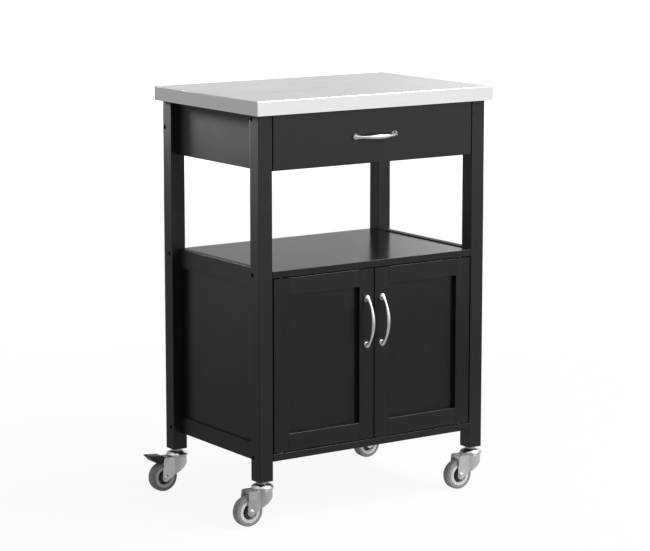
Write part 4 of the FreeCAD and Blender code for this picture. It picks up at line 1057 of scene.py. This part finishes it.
    def ring(self, half: Profile) -> Workpiece:
        """A closed ring about Z from the profile of its upper half in millimetres."""
        return Workpiece().turn(both_ways(scaled(half)), steps=72, closed=True)


@dataclass
class BrakePedal:
    """The rear casters' brake lever: a barrel on its pin, a shoe over the tyre and a ribbed tread."""

    corner: Corner
    pin: Span
    half_width: float = 13.5 * MM
    lever_round: float = 0.6 * MM
    barrel: float = 4.4 * MM
    barrel_round: float = 0.5 * MM
    # distance behind the stem's axis and height above the floor in millimetres
    outline: Profile = (
        (34.0, 75.9), (37.0, 78.2), (44.0, 82.5), (61.0, 84.2), (78.0, 86.0), (78.0, 83.6), (72.0, 77.5),
        (67.0, 72.0), (58.5, 67.5), (50.0, 67.5), (34.0, 67.1),
    )
    ribs: tuple[float, ...] = (58.0, 64.0, 70.0, 75.0)
    rib_half: float = 0.7 * MM
    rib_inset: float = 1.5 * MM
    rib_base: float = -1.3 * MM
    rib_top: float = 0.05 * MM
    rib_round: float = 0.25 * MM

    def build(self) -> None:
        """Extrudes the lever, rounds it and lays the tread's ribs on it."""
        name = self.corner.side.name.lower()
        lever = Workpiece()
        lever.plate(scaled(self.outline, -MM), self.half_width)
        lever.round(lever.mesh.edges, self.lever_round)
        flat, end = self.barrel - self.barrel_round, self.half_width
        upper = [(0.0, end), (flat, end), (self.barrel, end - self.barrel_round)]
        drum = Workpiece().turn(both_ways(upper), steps=32)
        back, level = self.pin
        lever.join(drum, Matrix.Translation((-back, 0, level)) @ ABOUT_Y)
        half = self.half_width - self.rib_inset
        (knee_back, knee_level), (tip_back, tip_level) = self.outline[2], self.outline[4]
        climb = (tip_level - knee_level) / (tip_back - knee_back)
        for rib in self.ribs:
            tread = (knee_level + (rib - knee_back) * climb) * MM
            low = (-rib * MM - self.rib_half, -half, tread + self.rib_base)
            high = (self.rib_half - rib * MM, half, tread + self.rib_top)
            lever.box(low, high, self.rib_round)
        lever.move(self.corner.stem)
        lever.hang(f"pedal_lever_{name}", f"pedal_rear_{name}", PEDAL_PLASTIC, [f"brake_pedal_{name}"])


@dataclass
class Undercarriage:
    """The four casters; their stems and raceways stay with the frame."""

    corners: tuple[Corner, ...] = tuple(Corner(end, side) for end in End for side in Side)

    def build(self) -> None:
        """Builds each caster, and all the stems as one piece of the frame."""
        stems = Workpiece()
        for corner in self.corners:
            caster = SwivelCaster(corner)
            stems.join(caster.stem(), corner.stem)
            caster.build()
        stems.hang("caster_raceways", "cart_frame", BRIGHT_ZINC, ["caster_stems"], crease=32.0)


# Studio


def stand(thing: Piece, place: Point, forward: Vector) -> None:
    """Puts a lamp or a camera in the scene.

    Args:
        thing: the lamp or the camera.
        place: where it stands.
        forward: the direction that it faces.
    """
    thing.location = place
    thing.rotation_euler = forward.to_track_quat("-Z", "Y").to_euler()
    bpy.context.scene.collection.objects.link(thing)


@dataclass(frozen=True)
class Lamp:
    """A square area lamp: its place, its target, its side, its watts and its cone in degrees."""

    name: str
    place: Point
    target: Point
    size: float
    power: float
    spread: float = 180.0

    def build(self) -> None:
        """Adds the lamp to the scene."""
        light = bpy.data.lights.new(self.name, "AREA")
        light.shape = "SQUARE"
        light.size = self.size
        light.energy = self.power
        light.spread = math.radians(self.spread)
        stand(bpy.data.objects.new(self.name, light), self.place, Vector(self.target) - Vector(self.place))


@dataclass
class Studio:
    """A white sweep, a soft world and three lamps.

    The camera sees a white floor and sky. Each pair in gloss is the brightness in mirrors at the ends
    of the pair before it, which are metres on the floor and parts of a unit direction in the sky.
    Those of the dark side and the ceiling are shares of the sky's own brightness.
    """

    lamps: tuple[Lamp, ...] = (
        Lamp("key", (1.7, -3.4, 2.9), (0.0, 0.0, 0.6), 2.4, 90.0),
        Lamp("top", (1.7, -0.6, 3.3), (0.0, 0.0, 0.6), 1.2, 75.0),
        Lamp("rear_left", (-0.57, 1.15, 1.12), (-0.33, 0.15, 0.85), 0.2, 1.0, 30.0),
    )
    floor_radius: float = 60.0
    floor_grey: float = 0.8
    shadow_ring: Span = (0.8, 1.8)
    shadow_white: Span = (0.92, 1.0)
    near_ring: Span = (0.5, 1.3)
    near_gloss: Span = (0.78, 0.33)
    far_ring: Span = (2.8, 5.5)
    far_gloss: Span = (0.33, 1.28)
    left_ring: Span = (0.8, 2.8)
    left_gloss: Span = (0.24, 0.48)
    left_to_right: Span = (-0.8, 0.6)
    sky_sides: Span = (-0.6, 0.6)
    sky_gloss: Span = (0.6, 0.87)
    sky_fill: float = 0.6
    dark_side: Point = (-0.56, -0.82, 0.1)
    dark_cone: Span = (0.7, 1.0)
    dark_gloss: Span = (1.0, 0.45)
    ceiling_rise: Span = (0.4, 0.7)
    ceiling_gloss: Span = (1.0, 1.6)
    rear_sides: Span = (0.57, 0.6)
    rear_gloss: Span = (0.42, 1.3)
    rear_rise: Span = (0.12, 0.155)
    rear_depth: Span = (0.3, 0.7)

    def build(self) -> None:
        """Sets the plain view transform, the floor, the world and the lamps."""
        bpy.context.scene.view_settings.view_transform = "Standard"
        self.make_floor()
        self.make_world()
        for lamp in self.lamps:
            lamp.build()

    def rays(self, desk: NodeDesk) -> tuple[Socket, Socket]:
        """Masks of the camera's own rays, and of those that come by way of a mirror or glass."""
        kinds = desk.place("ShaderNodeLightPath", {}).outputs
        others = kinds["Is Glossy Ray"], kinds["Is Transmission Ray"]
        return kinds["Is Camera Ray"], desk.maths("MAXIMUM", *others)

    def make_floor(self) -> None:
        """A wide pale disc: white to the camera but for the cart's shadow, and darker in mirrors."""
        disc = Workpiece()
        bmesh.ops.create_circle(disc.mesh, cap_ends=True, radius=self.floor_radius, segments=96)
        data = bpy.data.meshes.new("floor")
        disc.mesh.to_mesh(data)
        disc.mesh.free()
        floor = bpy.data.objects.new("floor", data)
        bpy.context.scene.collection.objects.link(floor)
        material = bpy.data.materials.new("floor_white")
        material.use_nodes = True
        data.materials.append(material)
        desk = NodeDesk(material.node_tree)
        camera, mirrored = self.rays(desk)
        spot = desk.place("ShaderNodeTexCoord", {}).outputs["Object"]
        distance = desk.place("ShaderNodeVectorMath", {0: spot}, operation="LENGTH").outputs["Value"]
        across = desk.place("ShaderNodeSeparateXYZ", {"Vector": spot}).outputs["X"]
        near = desk.slope(distance, self.near_gloss, self.near_ring)
        far = desk.slope(distance, self.far_gloss, self.far_ring)
        left = desk.slope(distance, self.left_gloss, self.left_ring)
        rightwards = desk.slope(across, (0.0, 1.0), self.left_to_right)
        right = desk.maths("MAXIMUM", near, far)
        gloss = desk.place("ShaderNodeMix", {0: rightwards, 2: left, 3: right}).outputs[0]
        strength = desk.maths("MAXIMUM", gloss, camera)
        white = desk.slope(distance, self.shadow_white, self.shadow_ring)
        share = desk.maths("MAXIMUM", desk.maths("MULTIPLY", camera, white), mirrored)
        glow = desk.place("ShaderNodeEmission", {"Color": WHITE, "Strength": strength}).outputs[0]
        grey = (self.floor_grey, self.floor_grey, self.floor_grey, 1.0)
        matt = desk.place("ShaderNodeBsdfDiffuse", {"Color": grey}).outputs[0]
        mixed = desk.place("ShaderNodeMixShader", {0: share, 1: matt, 2: glow}).outputs[0]
        desk.place("ShaderNodeOutputMaterial", {"Surface": mixed})

    def make_world(self) -> None:
        """White to the camera, a soft fill, and in mirrors a sky with a dim side and a bright rear."""
        world = bpy.data.worlds.new("studio")
        bpy.context.scene.world = world
        world.use_nodes = True
        desk = NodeDesk(world.node_tree)
        camera, mirrored = self.rays(desk)
        direction = desk.place("ShaderNodeTexCoord", {}).outputs["Generated"]
        along = desk.place("ShaderNodeSeparateXYZ", {"Vector": direction}).outputs
        walls = desk.slope(along["X"], self.sky_gloss, self.sky_sides)
        both = {0: direction, 1: self.dark_side}
        towards_dark = desk.place("ShaderNodeVectorMath", both, operation="DOT_PRODUCT").outputs["Value"]
        dimmed = desk.maths("MULTIPLY", walls, desk.slope(towards_dark, self.dark_gloss, self.dark_cone))
        ceiling = desk.slope(along["Z"], self.ceiling_gloss, self.ceiling_rise)
        sky = desk.maths("MULTIPLY", dimmed, ceiling)
        rear = desk.slope(along["X"], self.rear_gloss, self.rear_sides)
        raised = desk.slope(along["Z"], (0.0, 1.0), self.rear_rise)
        behind = desk.slope(along["Y"], (0.0, 1.0), self.rear_depth)
        at_rear = desk.maths("MULTIPLY", raised, behind)
        gloss = desk.place("ShaderNodeMix", {0: at_rear, 2: sky, 3: rear}).outputs[0]
        fill = desk.maths("MULTIPLY", walls, self.sky_fill)
        strength = desk.maths("MAXIMUM", desk.slope(mirrored, (fill, gloss)), camera)
        shine = desk.place("ShaderNodeBackground", {"Color": WHITE, "Strength": strength}).outputs[0]
        desk.place("ShaderNodeOutputWorld", {"Surface": shine})


@dataclass
class PhotoCamera:
    """The camera where the photograph was taken from."""

    place: Point = (-3.00675, -4.42701, 1.40905)
    yaw: float = 0.5971
    pitch: float = 0.161
    lens: float = 136.16
    sensor: float = 36.0
    shift_y: float = -0.0408
    sight: float = 200.0

    def build(self) -> None:
        """Sets the scene's camera."""
        data = bpy.data.cameras.new("photo_camera")
        data.lens = self.lens
        data.sensor_width = self.sensor
        data.sensor_fit = "HORIZONTAL"
        data.shift_y = self.shift_y
        data.clip_end = self.sight
        camera = bpy.data.objects.new("photo_camera", data)
        level = math.cos(self.pitch)
        forward = Vector((math.sin(self.yaw) * level, math.cos(self.yaw) * level, -math.sin(self.pitch)))
        stand(camera, self.place, forward)
        bpy.context.scene.camera = camera


def main() -> None:
    """Builds the cart's sub-assemblies in order, then the studio and the camera."""
    logging.basicConfig(level=logging.INFO, format="%(message)s")
    doors = [Door(side) for side in Side]
    for assembly in (Worktop(), CabinetFrame(), Drawer(), *doors, Undercarriage(), Studio(), PhotoCamera()):
        assembly.build()
        LOG.info("%s built", type(assembly).__name__)


if __name__ == "__main__":
    main()
